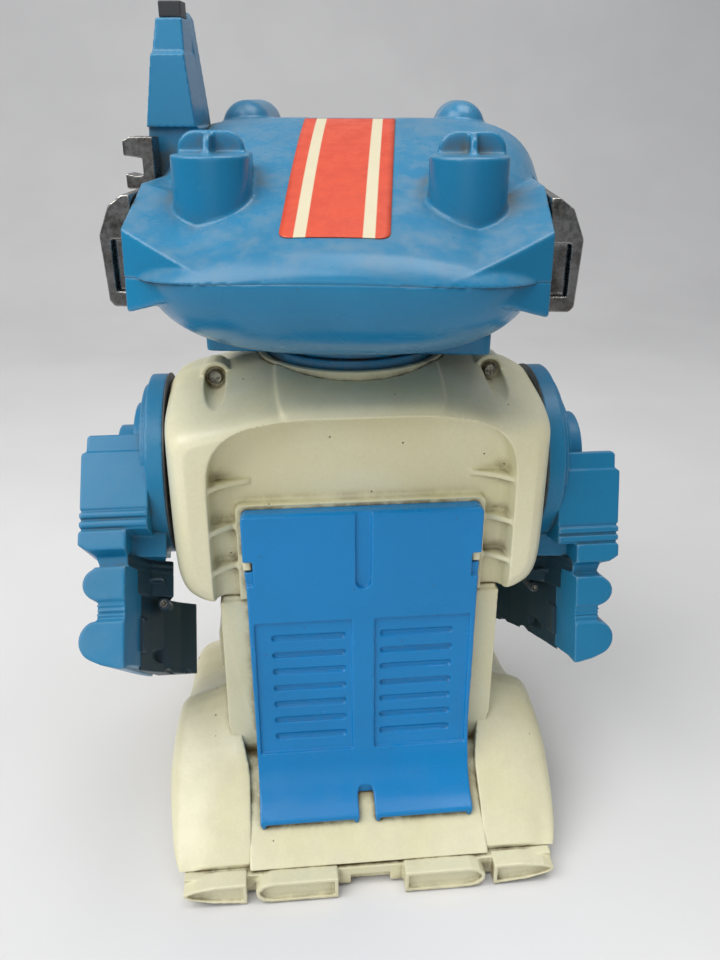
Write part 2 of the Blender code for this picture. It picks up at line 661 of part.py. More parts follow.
FENDER_SECTIONS = (
    # y, inner top, outer top, outer x
    (99.0, 15.0, 13.0, 94.0), (88.0, 25.0, 21.0, 97.0), (70.0, 40.0, 35.0, 99.5), (50.0, 56.0, 49.0, 100.5),
    (25.0, 68.0, 60.0, 98.5), (-15.0, 69.0, 60.0, 97.0), (-45.0, 60.0, 52.0, 97.0), (-70.0, 42.0, 36.0,
        95.0),
    (-88.0, 22.0, 19.0, 90.0), (-92.0, 15.0, 14.0, 86.0),
)


def fender(name, side):
    rings = []
    for y, inner, outer, reach in FENDER_SECTIONS:
        low = 12.4
        ring = [(57.2, low), (58.4, inner), (66, inner), (80, (inner + outer) / 2 + 0.8),
            (reach - 7, outer), (reach - 2, outer - (outer - low) * 0.16)]
        ring += [(reach, low + (outer - low) * 0.55), (reach - 1, low)]
        rings.append([(side * x, y, z) for x, z in ring])
    cover = add(f"fender_{name}", loft_mesh(rings), CREAM)
    hollow = [(-66, 0), (-66, 24), (-58, 36), (-40, 44), (40, 44), (60, 37), (75, 22), (76, 0)]
    low, high = sorted((side * 60.2, side * 93.5))
    cut(cover, outline_mesh(hollow, low, high, "X"))
    for y in (REAR_AXLE_Y, FRONT_AXLE_Y):
        cut(cover, rod_mesh("X", (side * 59 - 5, y, WHEEL_R), AXLE_R + 0.9, 10, 16))
    return cover


def base_tub():
    plan = mirrored([(91, 103.5), (91, -80), (80, -87)])
    tub = add("base_tub", outline_mesh(plan, 2.0, 12.1, "Z"), CREAM)
    cut(tub, outline_mesh(mirrored([(87.5, 96), (87.5, -77), (78, -83.5)]), 4.1, 20, "Z"))
    for side in (1, -1):
        for y in (REAR_AXLE_Y, FRONT_AXLE_Y):
            cut(tub, box_mesh(sorted((side * (WHEEL_IN - 2.5), side * (WHEEL_OUT + 2))),
                (y - 19.5, y + 19.5), (-5, 20)))
        inner = [(side * 16.5, 0.6), (side * 50, 0.6), (side * 55.5, 3.5), (side * 56.6, 8),
            (side * 53, 12.6), (side * 47, 13.1), (side * 16.5, 13.1)]
        outer = [(side * 60.8, 0.6), (side * 78, 3.2), (side * 89.5, 6.8), (side * 91.2, 9),
            (side * 86, 11.4), (side * 74, 13.1), (side * 60.8, 13.1)]
        for outline, depth in ((inner, 110.5), (outer, 110.0)):
            join(tub, outline_mesh(outline, 101, depth, "Y"))
            middle = (sum(x for x, z in outline) / len(outline), sum(z for x, z in outline) / len(outline))
            small = [(middle[0] + (x - middle[0]) * 0.86, middle[1] + (z - middle[1]) * 0.68) for x,
                z in outline]
            cut(tub, outline_mesh(small, 105.5, 120, "Y"))
    cut(tub, box_mesh((-9.8, 9.8), (100.5, 120), (-5, 7.5)))


def toothed(teeth, phase):
    """A gear's outline; at phase 0 a space lies along the first axis."""
    pitch = GEAR_MODULE * teeth / 2
    root = pitch - 1.15 * GEAR_MODULE
    tip = pitch + 0.8 * GEAR_MODULE
    points = []
    for tooth in range(teeth):
        for share, reach in ((0.0, root), (0.24, root), (0.41, tip), (0.59, tip), (0.76, root)):
            angle = 2 * math.pi * (tooth + share) / teeth + phase
            points.append((reach * math.cos(angle), reach * math.sin(angle)))
    return points


def wheel(name, side, parent):
    middle = (WHEEL_IN + WHEEL_OUT) / 2
    half = (WHEEL_OUT - WHEEL_IN) / 2
    tyre = add(name, rod_mesh("X", (side * middle - half, 0, 0), WHEEL_R, 2 * half, 32), RUBBER, parent)
    cut(tyre, rod_mesh("X", (side * middle - 20, 0, 0), AXLE_R + 0.15, 40, 16))
    cut(tyre, rod_mesh("X", (side * (WHEEL_OUT - 2) - (4 if side < 0 else 0), 0, 0), WHEEL_R - 4, 4, 24))


def drive():
    rear = pivot("rear_axle_pivot", 0, REAR_AXLE_Y, WHEEL_R)
    front = pivot("front_axle_pivot", 0, FRONT_AXLE_Y, WHEEL_R)
    for where, parent in (("rear", rear), ("front", front)):
        add(f"{where}_axle", rod_mesh("X", (-WHEEL_OUT, 0, 0), AXLE_R, 2 * WHEEL_OUT, 16), STEEL, parent)
        wheel(f"wheel_{where}_left", 1, parent)
        wheel(f"wheel_{where}_right", -1, parent)
    gear = add("drive_gear", outline_mesh(toothed(GEAR_TEETH, 0), GEAR_X, GEAR_X + 4, "X"), CREAM_DARK,
        rear)
    cut(gear, rod_mesh("X", (GEAR_X - 5, 0, 0), AXLE_R + 0.15, 20, 16))
    shaft = pivot("motor_pivot", 0, PINION_Y, WHEEL_R)
    pinion = add("motor_pinion", outline_mesh(toothed(PINION_TEETH, math.pi / PINION_TEETH), GEAR_X,
        GEAR_X + 4, "X"), STEEL, shaft)
    join(pinion, rod_mesh("X", (GEAR_X - 6, 0, 0), 1.2, 8, 12))
    motor = add("drive_motor", rod_mesh("X", (-24, PINION_Y - 6, WHEEL_R), 11, 32, 24), GREY)
    cut(motor, rod_mesh("X", (4, PINION_Y, WHEEL_R), 1.8, 10, 12))


def inside():
    add("circuit_board", box_mesh((-30, 30), (-12, 22), (152, 153.6)), GREEN)
    speaker = add("speaker", rod_mesh("Y", (0, -54.5, 200), 22, 6, 24, 22), BLACK)
    join(speaker, rod_mesh("Y", (0, -49, 200), 11, 7, 20))
    panel = add("chest_panel",
        outline_mesh(rounded([(51.6, 221.6), (51.6, 158.4), (-51.6, 158.4), (-51.6, 221.6)], 6), -61, -58.8,
        "Y"), BLUE)
    cut(panel, box_mesh((18.5, 37.5), (-70, -50), (167.5, 176.5)))
    for x in (-36, -12, 12, 36):
        cut(panel, rod_mesh("Y", (x, -62, 208), 5, 2.2, 16))
    switch = add("power_switch", box_mesh((25, 31), (-63.5, -55.8), (168, 176)), BLACK,
        pivot("switch_pivot", 0, 0, 0))
    join(switch, box_mesh((22, 34), (-55.9, -54.8), (167, 177)))


ARM_OUTLINE = [
    (100.0, 5.0), (122.0, 5.0), (126.0, 3.0), (ARM_OUT, -3.0), (ARM_OUT, -32.0), (127.0, -33.0), (ARM_OUT,
        -34.2), (ARM_OUT, -36.0),
    (127.0, -37.2), (ARM_OUT, -38.4), (ARM_OUT, -40.2), (126.8, -41.6), (128.3, -43.0), (128.3,
        -48.6), (124.5, -51.0), (121.0, -53.5),
    (119.5, -57.5), (122.5, -59.5), (125.2, -63.0), (125.7, -66.5), (123.8, -70.2), (119.3, -73.2), (118.6,
        -74.2), (118.6, -82.0),
    (120.5, -83.0), (125.4, -86.6), (126.9, -90.8), (125.6, -95.0), (121.5, -98.2), (117.0, -101.2), (110.0,
        -103.6), (HAND_IN, -103.8),
    (HAND_IN, -42.0), (100.0, -42.0),
]


def arm(name, side, swing):
    shoulder = pivot(f"shoulder_{name}_pivot", 0, SHOULDER_Y, SHOULDER_Z, (swing, 0, 0))
    flip = 1 if side > 0 else -1

    def rod(start, radius, length, segments=32):
        return rod_mesh("X", (start if flip > 0 else -start - length, 0, 0), radius, length, segments)

    hub = add(f"shoulder_hub_{name}", rod(HUB_IN, HUB_R, 7.0, 40), BLUE, shoulder)
    join(hub, rod(76, 9, 40, 24), rod(74, 11.5, 3, 24))
    join(hub, rod(HUB_IN + 6, 40, 5, 36), rod(HUB_IN + 10, 31, 8, 32), rod(HUB_IN + 17, 20, 8, 28))
    seat = [(100 - GAP, 5 + GAP), (145, 5 + GAP), (145, -60), (100 - GAP, -60)]
    seat = [(side * x, z) for x, z in seat]
    cut(hub, outline_mesh(seat, -ARM_BACK - GAP, ARM_BACK + GAP, "Y"))
    shell = add(f"arm_shell_{name}", outline_mesh([(side * x, z) for x, z in ARM_OUTLINE], -ARM_BACK,
        ARM_BACK, "Y"), BLUE, shoulder)
    cut(shell, box_mesh(sorted((side * 95, side * 124.8)), (-36.4, 36.4), (-39.4, 2.4)))
    cut(shell, box_mesh(sorted((side * 100, side * 116)), (-36.4, 36.4), (-100.8, -60.0)))
    for z in (-76.0, -78.2, -80.4):
        cut(shell, box_mesh(sorted((side * 100, side * 130)), (ARM_BACK - 0.9, ARM_BACK + 5),
            (z - 0.45, z + 0.45)))
    for x in (108.3, 120.6):
        lug = [(-38, -74), (-46, -74), (-50, -78), (-50, -82), (-46, -86), (-38, -86)]
        join(shell, outline_mesh(lug, side * x - (0 if side > 0 else 3), side * x + (3 if side > 0 else 0),
            "X"))
    cut(shell, rod_mesh("X", (side * 115 - 12, CLAW_Y, CLAW_Z), 1.5, 24, 12))

    plate = add(f"hand_plate_{name}", outline_mesh([(side * x, y) for x, y in
                [(106.6, 35), (106.6, -36), (HAND_PLATE_IN, -36),
                    (HAND_PLATE_IN, -31)]], -103.5, -68, "Z"), BLACK, shoulder)
    join(plate, outline_mesh([(side * x, y) for x, y in [(106.6, 35), (106.6, -36), (92, -36), (92, 8)]],
        -69, -46.5, "Z"))
    cut(plate, outline_mesh([(side * x, y) for x, y in [(108, 27.4), (108, -33.5), (86.6, -33.5)]], -100.8,
        -70.7, "Z"))
    cut(plate, outline_mesh([(side * x, y) for x, y in [(108, 27.4), (108, -33.5), (95, -33.5), (95, 5)]],
        -75, -49.2, "Z"))
    for claw, turn, start in (("upper", 1, 111.7), ("lower", -1, 116.1)):
        hinge = pivot(f"claw_{claw}_{name}_pivot", 0, CLAW_Y, CLAW_Z)
        hinge.parent = shoulder
        finger = [(4, -3.5 * turn), (4, 2.5 * turn), (0, 4 * turn), (-6, 8 * turn), (-16, 10.5 * turn),
            (-25, 7 * turn)]
        finger += [(-29, 1.2 * turn), (-25.5, 1.2 * turn), (-22, 4.5 * turn), (-15, 6 * turn),
            (-7, 3 * turn), (-3, -3 * turn)]
        low = side * start - (0 if side > 0 else 4.1)
        jaw = add(f"claw_{claw}_{name}", outline_mesh(finger, low, low + 4.1, "X"), BLACK, hinge)
        cut(jaw, rod_mesh("X", (low - 2, 0, 0), 1.5, 9, 12))
    add(f"claw_pin_{name}", rod_mesh("X", (side * 115.8 - 7.5, CLAW_Y, CLAW_Z), 1.2, 15, 12), STEEL,
        shoulder)


def build():
    head(pivot("head_pivot", 0, NECK_Y, 0, (0, 0, HEAD_TURN)))
    torso()
    lower_body()
    battery_cover()
    base_deck()
    fender("left", 1)
    fender("right", -1)
    base_tub()
    drive()
    inside()
    arm("left", 1, ARM_SWING_LEFT)
    arm("right", -1, ARM_SWING_RIGHT)


build()
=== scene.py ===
"""The toy robot's looks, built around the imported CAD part. Lengths in the code are millimetres."""

import json
import math

import bmesh
import bpy
from mathutils import Matrix, Vector


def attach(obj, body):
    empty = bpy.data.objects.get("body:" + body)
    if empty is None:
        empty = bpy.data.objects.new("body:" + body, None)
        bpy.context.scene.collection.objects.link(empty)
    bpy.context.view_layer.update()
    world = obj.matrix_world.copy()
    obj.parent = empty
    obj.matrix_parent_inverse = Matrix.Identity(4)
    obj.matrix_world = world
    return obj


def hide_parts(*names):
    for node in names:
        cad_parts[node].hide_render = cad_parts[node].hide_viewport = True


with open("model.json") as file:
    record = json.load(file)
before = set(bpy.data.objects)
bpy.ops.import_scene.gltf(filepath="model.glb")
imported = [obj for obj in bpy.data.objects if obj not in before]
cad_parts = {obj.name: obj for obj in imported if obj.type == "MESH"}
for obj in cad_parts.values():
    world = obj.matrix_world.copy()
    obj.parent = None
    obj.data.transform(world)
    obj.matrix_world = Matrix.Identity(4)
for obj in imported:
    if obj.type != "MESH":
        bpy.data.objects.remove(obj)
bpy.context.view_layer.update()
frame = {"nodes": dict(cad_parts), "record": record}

MM = 0.001

# How far the arms have swung and the head has turned in the CAD, in degrees
SWING = {"left": 39.6, "right": 14.2}
HEAD_TURN = -8.2
# The shoulder shaft's y and z, and the y of the neck and of each axle
SHOULDER = (1.1, 188.8)
NECK_Y = -5.0
AXLES_Y = (55.0, -45.0)
# The head's parting line, with half the gap along it, and the head's reach from the neck
SEAM_Z = 297.0
SEAM_GAP = 0.35
HEAD_HALF = 87.0
BOWL_HALF = 81.0
HEAD_BACK = 119.5
HEAD_FRONT = 83.7
DOME_RISE = 53.0
BOWL_DROP = 37.0
# The flat cheeks' x, and the share of the back where the dome starts to round down to the parting line
SIDE_X = 79.0
FOOT_FROM = 0.925
SLOT_OF = {part["node"]: part["material_slot"] for part in frame["record"]["subparts"]}
BODY_OF = {node: body for body, nodes in frame["record"]["behaviour"]["bodies"].items() for node in nodes}


# Meshes

def box(x, y, z):
    bm = bmesh.new()
    bmesh.ops.create_cube(bm, size=1.0)
    bmesh.ops.scale(bm, vec=(x[1] - x[0], y[1] - y[0], z[1] - z[0]), verts=bm.verts)
    bmesh.ops.translate(bm, vec=((x[0] + x[1]) / 2, (y[0] + y[1]) / 2, (z[0] + z[1]) / 2), verts=bm.verts)
    return bm


def turned(bm, axis, place):
    if axis == "X":
        bmesh.ops.rotate(bm, matrix=Matrix.Rotation(math.radians(90), 3, "Y"), verts=bm.verts)
    if axis == "Y":
        bmesh.ops.rotate(bm, matrix=Matrix.Rotation(math.radians(-90), 3, "X"), verts=bm.verts)
    bmesh.ops.translate(bm, vec=place, verts=bm.verts)
    return bm


def rod(axis, place, radius, length, segments=64, far=None):
    bm = bmesh.new()
    bmesh.ops.create_cone(bm, cap_ends=True, segments=segments, radius1=radius,
                          radius2=radius if far is None else far, depth=length)
    bmesh.ops.translate(bm, vec=(0, 0, length / 2), verts=bm.verts)
    return turned(bm, axis, place)


def ball(place, radius, stretch=(1, 1, 1)):
    bm = bmesh.new()
    bmesh.ops.create_uvsphere(bm, u_segments=48, v_segments=32, radius=radius)
    bmesh.ops.scale(bm, vec=stretch, verts=bm.verts)
    bmesh.ops.translate(bm, vec=place, verts=bm.verts)
    return bm


def extruded(points, low, high, axis):
    """A flat outline run from low to high: (x, y) along Z, (x, z) along Y or (y, z) along X."""
    order = {
        "X": lambda a, b, c: (c, a, b),
        "Y": lambda a, b, c: (a, c, b),
        "Z": lambda a, b, c: (a, b, c),
    }[axis]
    bm = bmesh.new()
    first = [bm.verts.new(order(a, b, low)) for a, b in points]
    last = [bm.verts.new(order(a, b, high)) for a, b in points]
    bm.faces.new(first)
    bm.faces.new(last)
    for i in range(len(points)):
        j = (i + 1) % len(points)
        bm.faces.new((first[i], first[j], last[j], last[i]))
    bmesh.ops.triangulate(bm, faces=bm.faces)
    return bm


def loft(rings):
    bm = bmesh.new()
    loops = [[bm.verts.new(point) for point in ring] for ring in rings]
    count = len(loops[0])
    for first, second in zip(loops, loops[1:]):
        for i in range(count):
            j = (i + 1) % count
            bm.faces.new((first[i], first[j], second[j], second[i]))
    bm.faces.new(loops[0])
    bm.faces.new(loops[-1])
    bmesh.ops.triangulate(bm, faces=bm.faces)
    return bm


def hull(points):
    bm = bmesh.new()
    for point in points:
        bm.verts.new(point)
    made = bmesh.ops.convex_hull(bm, input=bm.verts)
    unused = made["geom_interior"] + made["geom_unused"]
    spare = {item for item in unused if isinstance(item, bmesh.types.BMVert)}
    bmesh.ops.delete(bm, geom=list(spare), context="VERTS")
    return bm


def arc(middle, radius, start, end, step, squash=1.0):
    """Points on a circle at whole degrees, or on an ellipse where squash isn't 1."""
    turns = [math.radians(angle) for angle in range(start, end + 1, step)]
    return [(middle[0] + radius * math.cos(a), middle[1] + squash * radius * math.sin(a)) for a in turns]


def mirrored(points):
    """The outline's right half followed by its mirror image."""
    return list(points) + [(-a, b) for a, b in reversed(points) if a]


def fair(points, rounds=2):
    """A closed outline with its corners cut again and again."""
    for _ in range(rounds):
        made = []
        for i, here in enumerate(points):
            after = points[(i + 1) % len(points)]
            made.append(tuple(a * 0.78 + b * 0.22 for a, b in zip(here, after)))
            made.append(tuple(a * 0.22 + b * 0.78 for a, b in zip(here, after)))
        points = made
    return points


def spline(keys, steps):
    """A smooth curve through the keys."""
    made = []
    for i in range(len(keys) - 1):
        a, b, c, d = keys[max(0, i - 1)], keys[i], keys[i + 1], keys[min(len(keys) - 1, i + 2)]
        for step in range(steps):
            t = step / steps
            made.append(tuple(
                0.5 * (2 * q + (r - p) * t + (2 * p - 5 * q + 4 * r - s) * t**2
                       + (3 * q - p - 3 * r + s) * t**3)
                for p, q, r, s in zip(a, b, c, d)))
    return made + [tuple(keys[-1])]


def cad(name):
    bm = bmesh.new()
    bm.from_mesh(frame["nodes"][name].data)
    bmesh.ops.scale(bm, vec=(1000, 1000, 1000), verts=bm.verts)
    bmesh.ops.remove_doubles(bm, verts=bm.verts, dist=0.002)
    return bm


def faced_out(bm):
    bmesh.ops.recalc_face_normals(bm, faces=bm.faces)
    if bm.calc_volume(signed=True) < 0:
        bmesh.ops.reverse_faces(bm, faces=bm.faces)
    return bm


def baked(bm, settle):
    """The mesh after the modifiers that settle adds."""
    mesh = bpy.data.meshes.new("work")
    bm.to_mesh(mesh)
    bm.free()
    obj = bpy.data.objects.new("work", mesh)
    bpy.context.scene.collection.objects.link(obj)
    spare = settle(obj)
    graph = bpy.context.evaluated_depsgraph_get()
    made = bmesh.new()
    result = bpy.data.meshes.new_from_object(obj.evaluated_get(graph))
    made.from_mesh(result)
    bpy.data.meshes.remove(result)
    for item in [obj, *spare]:
        bpy.data.objects.remove(item)
    return made


def combined(bm, operation, others):
    """The first shape with each of the others joined to it or cut from it."""
    for other in others:
        tool = bpy.data.meshes.new("tool")
        faced_out(other).to_mesh(tool)
        other.free()

        def settle(obj, tool=tool):
            cutter = bpy.data.objects.new("cutter", tool)
            bpy.context.scene.collection.objects.link(cutter)
            modifier = obj.modifiers.new("cut", "BOOLEAN")
            modifier.operation = operation
            modifier.solver = "MANIFOLD"
            modifier.object = cutter
            return [cutter]

        bm = baked(faced_out(bm), settle)
    return bm


def cut(bm, *others):
    return combined(bm, "DIFFERENCE", others)


def join(bm, *others):
    return combined(bm, "UNION", others)


def moulded(bm, voxel, passes, keep):
    """One closed skin with softened edges, thinned to the share of faces to keep."""
    def settle(obj):
        remesh = obj.modifiers.new("remesh", "REMESH")
        remesh.mode = "VOXEL"
        remesh.voxel_size = voxel
        soften = obj.modifiers.new("soften", "SMOOTH")
        soften.factor = 0.5
        soften.iterations = passes
        thin = obj.modifiers.new("thin", "DECIMATE")
        thin.ratio = keep
        return []
    return baked(faced_out(bm), settle)


def piece(name, bm, body, nodes, material):
    """A shown piece from a shape in millimetres, which stands for the CAD nodes and rides on the body."""
    bmesh.ops.scale(bm, vec=(MM, MM, MM), verts=bm.verts)
    mesh = bpy.data.meshes.new(name)
    for face in bm.faces:
        face.smooth = True
    bm.to_mesh(mesh)
    bm.free()
    obj = bpy.data.objects.new(name, mesh)
    bpy.context.scene.collection.objects.link(obj)
    obj.data.materials.append(material)
    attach(obj, body)
    if nodes:
        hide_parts(*nodes)
    return obj


def remade(node, voxel):
    """The CAD node's own shape with softened edges."""
    slot = SLOT_OF[node]
    skin = moulded(cad(node), voxel, 4, 0.6)
    return piece(node + "_skin", skin, BODY_OF[node], [node], LOOKS[slot])


# Materials

DUST = (0.34, 0.31, 0.26)
SPECK = (0.06, 0.045, 0.02)
# Specks sit in this many cells a metre
SPECK_CELLS = 210.0


class Look:
    """A material's nodes, with short calls to add them."""

    def __init__(self, name, **fixed):
        self.material = bpy.data.materials.new(name)
        self.material.use_nodes = True
        self.tree = self.material.node_tree
        self.shader = self.tree.nodes["Principled BSDF"]
        for key, value in fixed.items():
            self.shader.inputs[key.replace("_", " ")].default_value = value
        self.place = self.add("ShaderNodeTexCoord").outputs["Object"]

    def add(self, kind, settings=None, **sockets):
        node = self.tree.nodes.new(kind)
        for key, value in (settings or {}).items():
            setattr(node, key, value)
        for key, value in sockets.items():
            self.put(node.inputs[key.replace("_", " ")], value)
        return node

    def put(self, socket, value):
        if isinstance(value, bpy.types.NodeSocket):
            self.tree.links.new(value, socket)
        else:
            socket.default_value = value

    def noise(self, scale, detail=3.0, roughness=0.55, place=None):
        return self.add("ShaderNodeTexNoise", Vector=place or self.place, Scale=scale, Detail=detail,
                        Roughness=roughness).outputs["Fac"]

    def span(self, value, low, high, out_low=0.0, out_high=1.0):
        node = self.add("ShaderNodeMapRange", {"clamp": True, "interpolation_type": "SMOOTHSTEP"})
        for socket, number in zip(node.inputs, (value, low, high, out_low, out_high)):
            self.put(socket, number)
        return node.outputs[0]

    def math(self, operation, first, second=0.0):
        node = self.add("ShaderNodeMath", {"operation": operation})
        self.put(node.inputs[0], first)
        self.put(node.inputs[1], second)
        return node.outputs[0]

    def mix(self, share, first, second):
        node = self.add("ShaderNodeMix", {"data_type": "RGBA"})
        self.put(node.inputs["Factor"], share)
        for index, value in ((6, first), (7, second)):
            if not isinstance(value, bpy.types.NodeSocket):
                value = (*value, 1.0)
            self.put(node.inputs[index], value)
        return node.outputs[2]

    def stretched(self, scale):
        node = self.add("ShaderNodeMapping", {"vector_type": "POINT"}, Vector=self.place, Scale=scale)
        return node.outputs[0]

    def set(self, name, value):
        self.put(self.shader.inputs[name], value)

    def bump(self, layers):
        normal = None
        for height, distance, strength in layers:
            node = self.add("ShaderNodeBump", Height=height, Distance=distance, Strength=strength)
            if normal is not None:
                self.put(node.inputs["Normal"], normal)
            normal = node.outputs["Normal"]
        self.set("Normal", normal)


def worn_plastic(name, base, tint, dust=0.35, grime_and_shade=0.8, grime_and_shade_colour=(0.16, 0.12, 0.05), rough=0.36,
                 specks=0.4, wear=0.25, crevice=5.0, ior=1.5):
    """Moulded plastic: uneven colour, dust on top, grime and painted shade in corners, worn edges, specks
    and scratches.
    """
    look = Look(name, IOR=ior)
    broad = look.noise(16.0, 3.0)
    patchy = look.noise(85.0, 4.0, 0.65)
    fine = look.noise(700.0, 2.0)
    colour = look.mix(look.span(broad, 0.38, 0.66), base, tint)
    colour = look.mix(look.span(fine, 0.35, 0.75, 0.0, 0.10), colour, tuple(c * 0.6 for c in base))
    geometry = look.add("ShaderNodeNewGeometry")
    normal = look.add("ShaderNodeSeparateXYZ", Vector=geometry.outputs["Normal"]).outputs["Z"]
    up = look.math("MULTIPLY", look.span(normal, 0.15, 0.95), look.span(patchy, 0.36, 0.72, 0.25, 1.0))
    colour = look.mix(look.math("MULTIPLY", up, dust), colour, DUST)
    # Corners and recesses found by ambient occlusion go darker: partly grime, partly painted shade
    shut = look.add("ShaderNodeAmbientOcclusion", {"samples": 6}, Distance=crevice * MM).outputs["AO"]
    corner = look.math("MULTIPLY", look.span(shut, 0.78, 0.46), look.span(patchy, 0.34, 0.62, 0.15, 1.0))
    grime_and_shade_mask = look.math("MULTIPLY", corner, grime_and_shade)
    colour = look.mix(grime_and_shade_mask, colour, grime_and_shade_colour)
    edge = look.span(geometry.outputs["Pointiness"], 0.515, 0.56)
    rubbed = look.math("MULTIPLY", edge, look.span(patchy, 0.4, 0.6, 0.3, 1.0))
    pale = tuple(min(1.0, c * 0.7 + 0.25) for c in base)
    colour = look.mix(look.math("MULTIPLY", rubbed, wear), colour, pale)
    spots = look.add("ShaderNodeTexVoronoi", {"feature": "F1"}, Vector=look.place, Scale=SPECK_CELLS)
    chosen = look.add("ShaderNodeSeparateColor", Color=spots.outputs["Color"]).outputs[0]
    dot = look.math("MULTIPLY", look.span(spots.outputs["Distance"], 0.12, 0.075),
                    look.span(chosen, 0.93, 0.935))
    colour = look.mix(look.math("MULTIPLY", dot, specks), colour, SPECK)
    look.set("Base Color", colour)
    scratch = look.noise(1.0, 2.0, 0.5, look.stretched((60.0, 900.0, 140.0)))
    scored = look.span(scratch, 0.66, 0.74)
    gloss = look.span(broad, 0.3, 0.7, rough - 0.05, rough + 0.07)
    gloss = look.math("ADD", gloss, look.math("MULTIPLY", up, 0.25 * dust + 0.08))
    gloss = look.math("ADD", gloss, look.math("MULTIPLY", grime_and_shade_mask, 0.3))
    look.set("Roughness", look.math("ADD", gloss, look.math("MULTIPLY", scored, 0.10)))
    look.bump(((patchy, 0.00025, 0.25), (fine, 0.00006, 0.35), (scored, 0.00004, 0.3)))
    return look.material


def stripe(look, colour, low, high, tone):
    """A band from low to high across the head's own frame."""
    turn = math.radians(HEAD_TURN)
    back = -NECK_Y * MM
    unturned = look.add("ShaderNodeMapping", {"vector_type": "POINT"}, Vector=look.place,
                        Location=(back * math.sin(turn), back * math.cos(turn), 0), Rotation=(0, 0, -turn))
    along = look.add("ShaderNodeSeparateXYZ", Vector=unturned.outputs[0]).outputs["X"]
    soft = 0.25 * MM
    inside = look.math("MULTIPLY", look.span(along, low * MM - soft, low * MM + soft),
                       look.span(along, high * MM + soft, high * MM - soft))
    return look.mix(inside, colour, tone)


def sticker_look():
    look = Look("paper_sticker", IOR=1.45)
    patchy = look.noise(120.0, 4.0, 0.65)
    fine = look.noise(1500.0, 2.0)
    colour = look.mix(look.span(patchy, 0.35, 0.7), (0.58, 0.075, 0.035), (0.50, 0.055, 0.026))
    for low, high in ((-14.6, -10.2), (10.2, 14.6)):
        colour = stripe(look, colour, low, high, (0.58, 0.53, 0.38))
    worn = look.span(fine, 0.66, 0.80, 0.0, 0.45)
    colour = look.mix(worn, colour, (0.85, 0.62, 0.45))
    look.set("Base Color", colour)
    look.set("Roughness", look.span(patchy, 0.3, 0.7, 0.32, 0.50))
    look.bump(((patchy, 0.0003, 0.3), (fine, 0.00004, 0.3)))
    return look.material


def worn_chrome():
    look = Look("worn_chrome", IOR=1.5)
    patchy = look.noise(60.0, 5.0, 0.65)
    fine = look.noise(450.0, 3.0, 0.7)
    colour = look.mix(look.span(patchy, 0.42, 0.66), (0.17, 0.17, 0.17), (0.055, 0.052, 0.048))
    rust = look.math("MULTIPLY", look.span(fine, 0.52, 0.70), look.span(patchy, 0.4, 0.6))
    colour = look.mix(look.math("MULTIPLY", rust, 0.6), colour, (0.09, 0.06, 0.035))
    geometry = look.add("ShaderNodeNewGeometry")
    edge = look.span(geometry.outputs["Pointiness"], 0.515, 0.56)
    colour = look.mix(look.math("MULTIPLY", edge, 0.7), colour, (0.62, 0.60, 0.55))
    look.set("Base Color", colour)
    look.set("Metallic", look.math("SUBTRACT", 1.0, look.math("MULTIPLY", rust, 0.7)))
    look.set("Roughness", look.span(fine, 0.3, 0.75, 0.16, 0.42))
    look.bump(((patchy, 0.0003, 0.2), (fine, 0.00008, 0.3)))
    return look.material


def dull_metal(name, base):
    look = Look(name, Metallic=1.0)
    patchy = look.noise(300.0, 4.0, 0.65)
    look.set("Base Color", look.mix(look.span(patchy, 0.4, 0.65), base, tuple(c * 0.35 for c in base)))
    look.set("Roughness", look.span(patchy, 0.3, 0.7, 0.28, 0.53))
    look.bump(((patchy, 0.0001, 0.3),))
    return look.material


def clear_plastic(name, base, deep, rough):
    look = Look(name, IOR=1.5, Coat_Weight=0.6, Coat_Roughness=0.06)
    patchy = look.noise(110.0, 4.0, 0.6)
    fine = look.noise(900.0, 2.0)
    look.set("Base Color", look.mix(look.span(patchy, 0.35, 0.7), base, deep))
    look.set("Roughness", look.span(fine, 0.3, 0.7, rough, rough + 0.12))
    look.bump(((patchy, 0.0002, 0.15),))
    return look.material


# Each finish's colour for corners and recesses is partly grime, partly painted shade
CREAM = worn_plastic("aged_cream", (0.74, 0.71, 0.50), (0.71, 0.665, 0.42), dust=0.15, grime_and_shade=1.0,
                     grime_and_shade_colour=(0.12, 0.08, 0.02), specks=1.0, rough=0.33, wear=0.15, crevice=6.5)
BLUE = worn_plastic("worn_blue", (0.005, 0.18, 0.36), (0.004, 0.16, 0.32), dust=0.24, grime_and_shade=0.85,
                    grime_and_shade_colour=(0.10, 0.095, 0.065), rough=0.22, wear=0.15, crevice=12.0, ior=1.45)
ARM_BLUE = worn_plastic("arm_blue", (0.008, 0.175, 0.35), (0.007, 0.155, 0.31), dust=0.09, grime_and_shade=0.85,
                        grime_and_shade_colour=(0.06, 0.08, 0.07), rough=0.34, wear=0.35, ior=1.4)
COVER_BLUE = worn_plastic("bright_blue", (0.003, 0.215, 0.54), (0.003, 0.20, 0.50), dust=0.04, grime_and_shade=0.9,
                          grime_and_shade_colour=(0.02, 0.045, 0.06), rough=0.21, specks=0.45, wear=0.15,
                          crevice=4.0, ior=1.38)
BLACK = worn_plastic("worn_black", (0.016, 0.02, 0.026), (0.022, 0.028, 0.034), dust=0.2, grime_and_shade=0.4,
                     grime_and_shade_colour=(0.05, 0.055, 0.05), rough=0.42, specks=0.2)
TEAL_BLACK = worn_plastic("hand_black", (0.009, 0.038, 0.064), (0.012, 0.045, 0.074), dust=0.08, grime_and_shade=0.4,
                          grime_and_shade_colour=(0.04, 0.05, 0.045), rough=0.45, specks=0.5, ior=1.4)
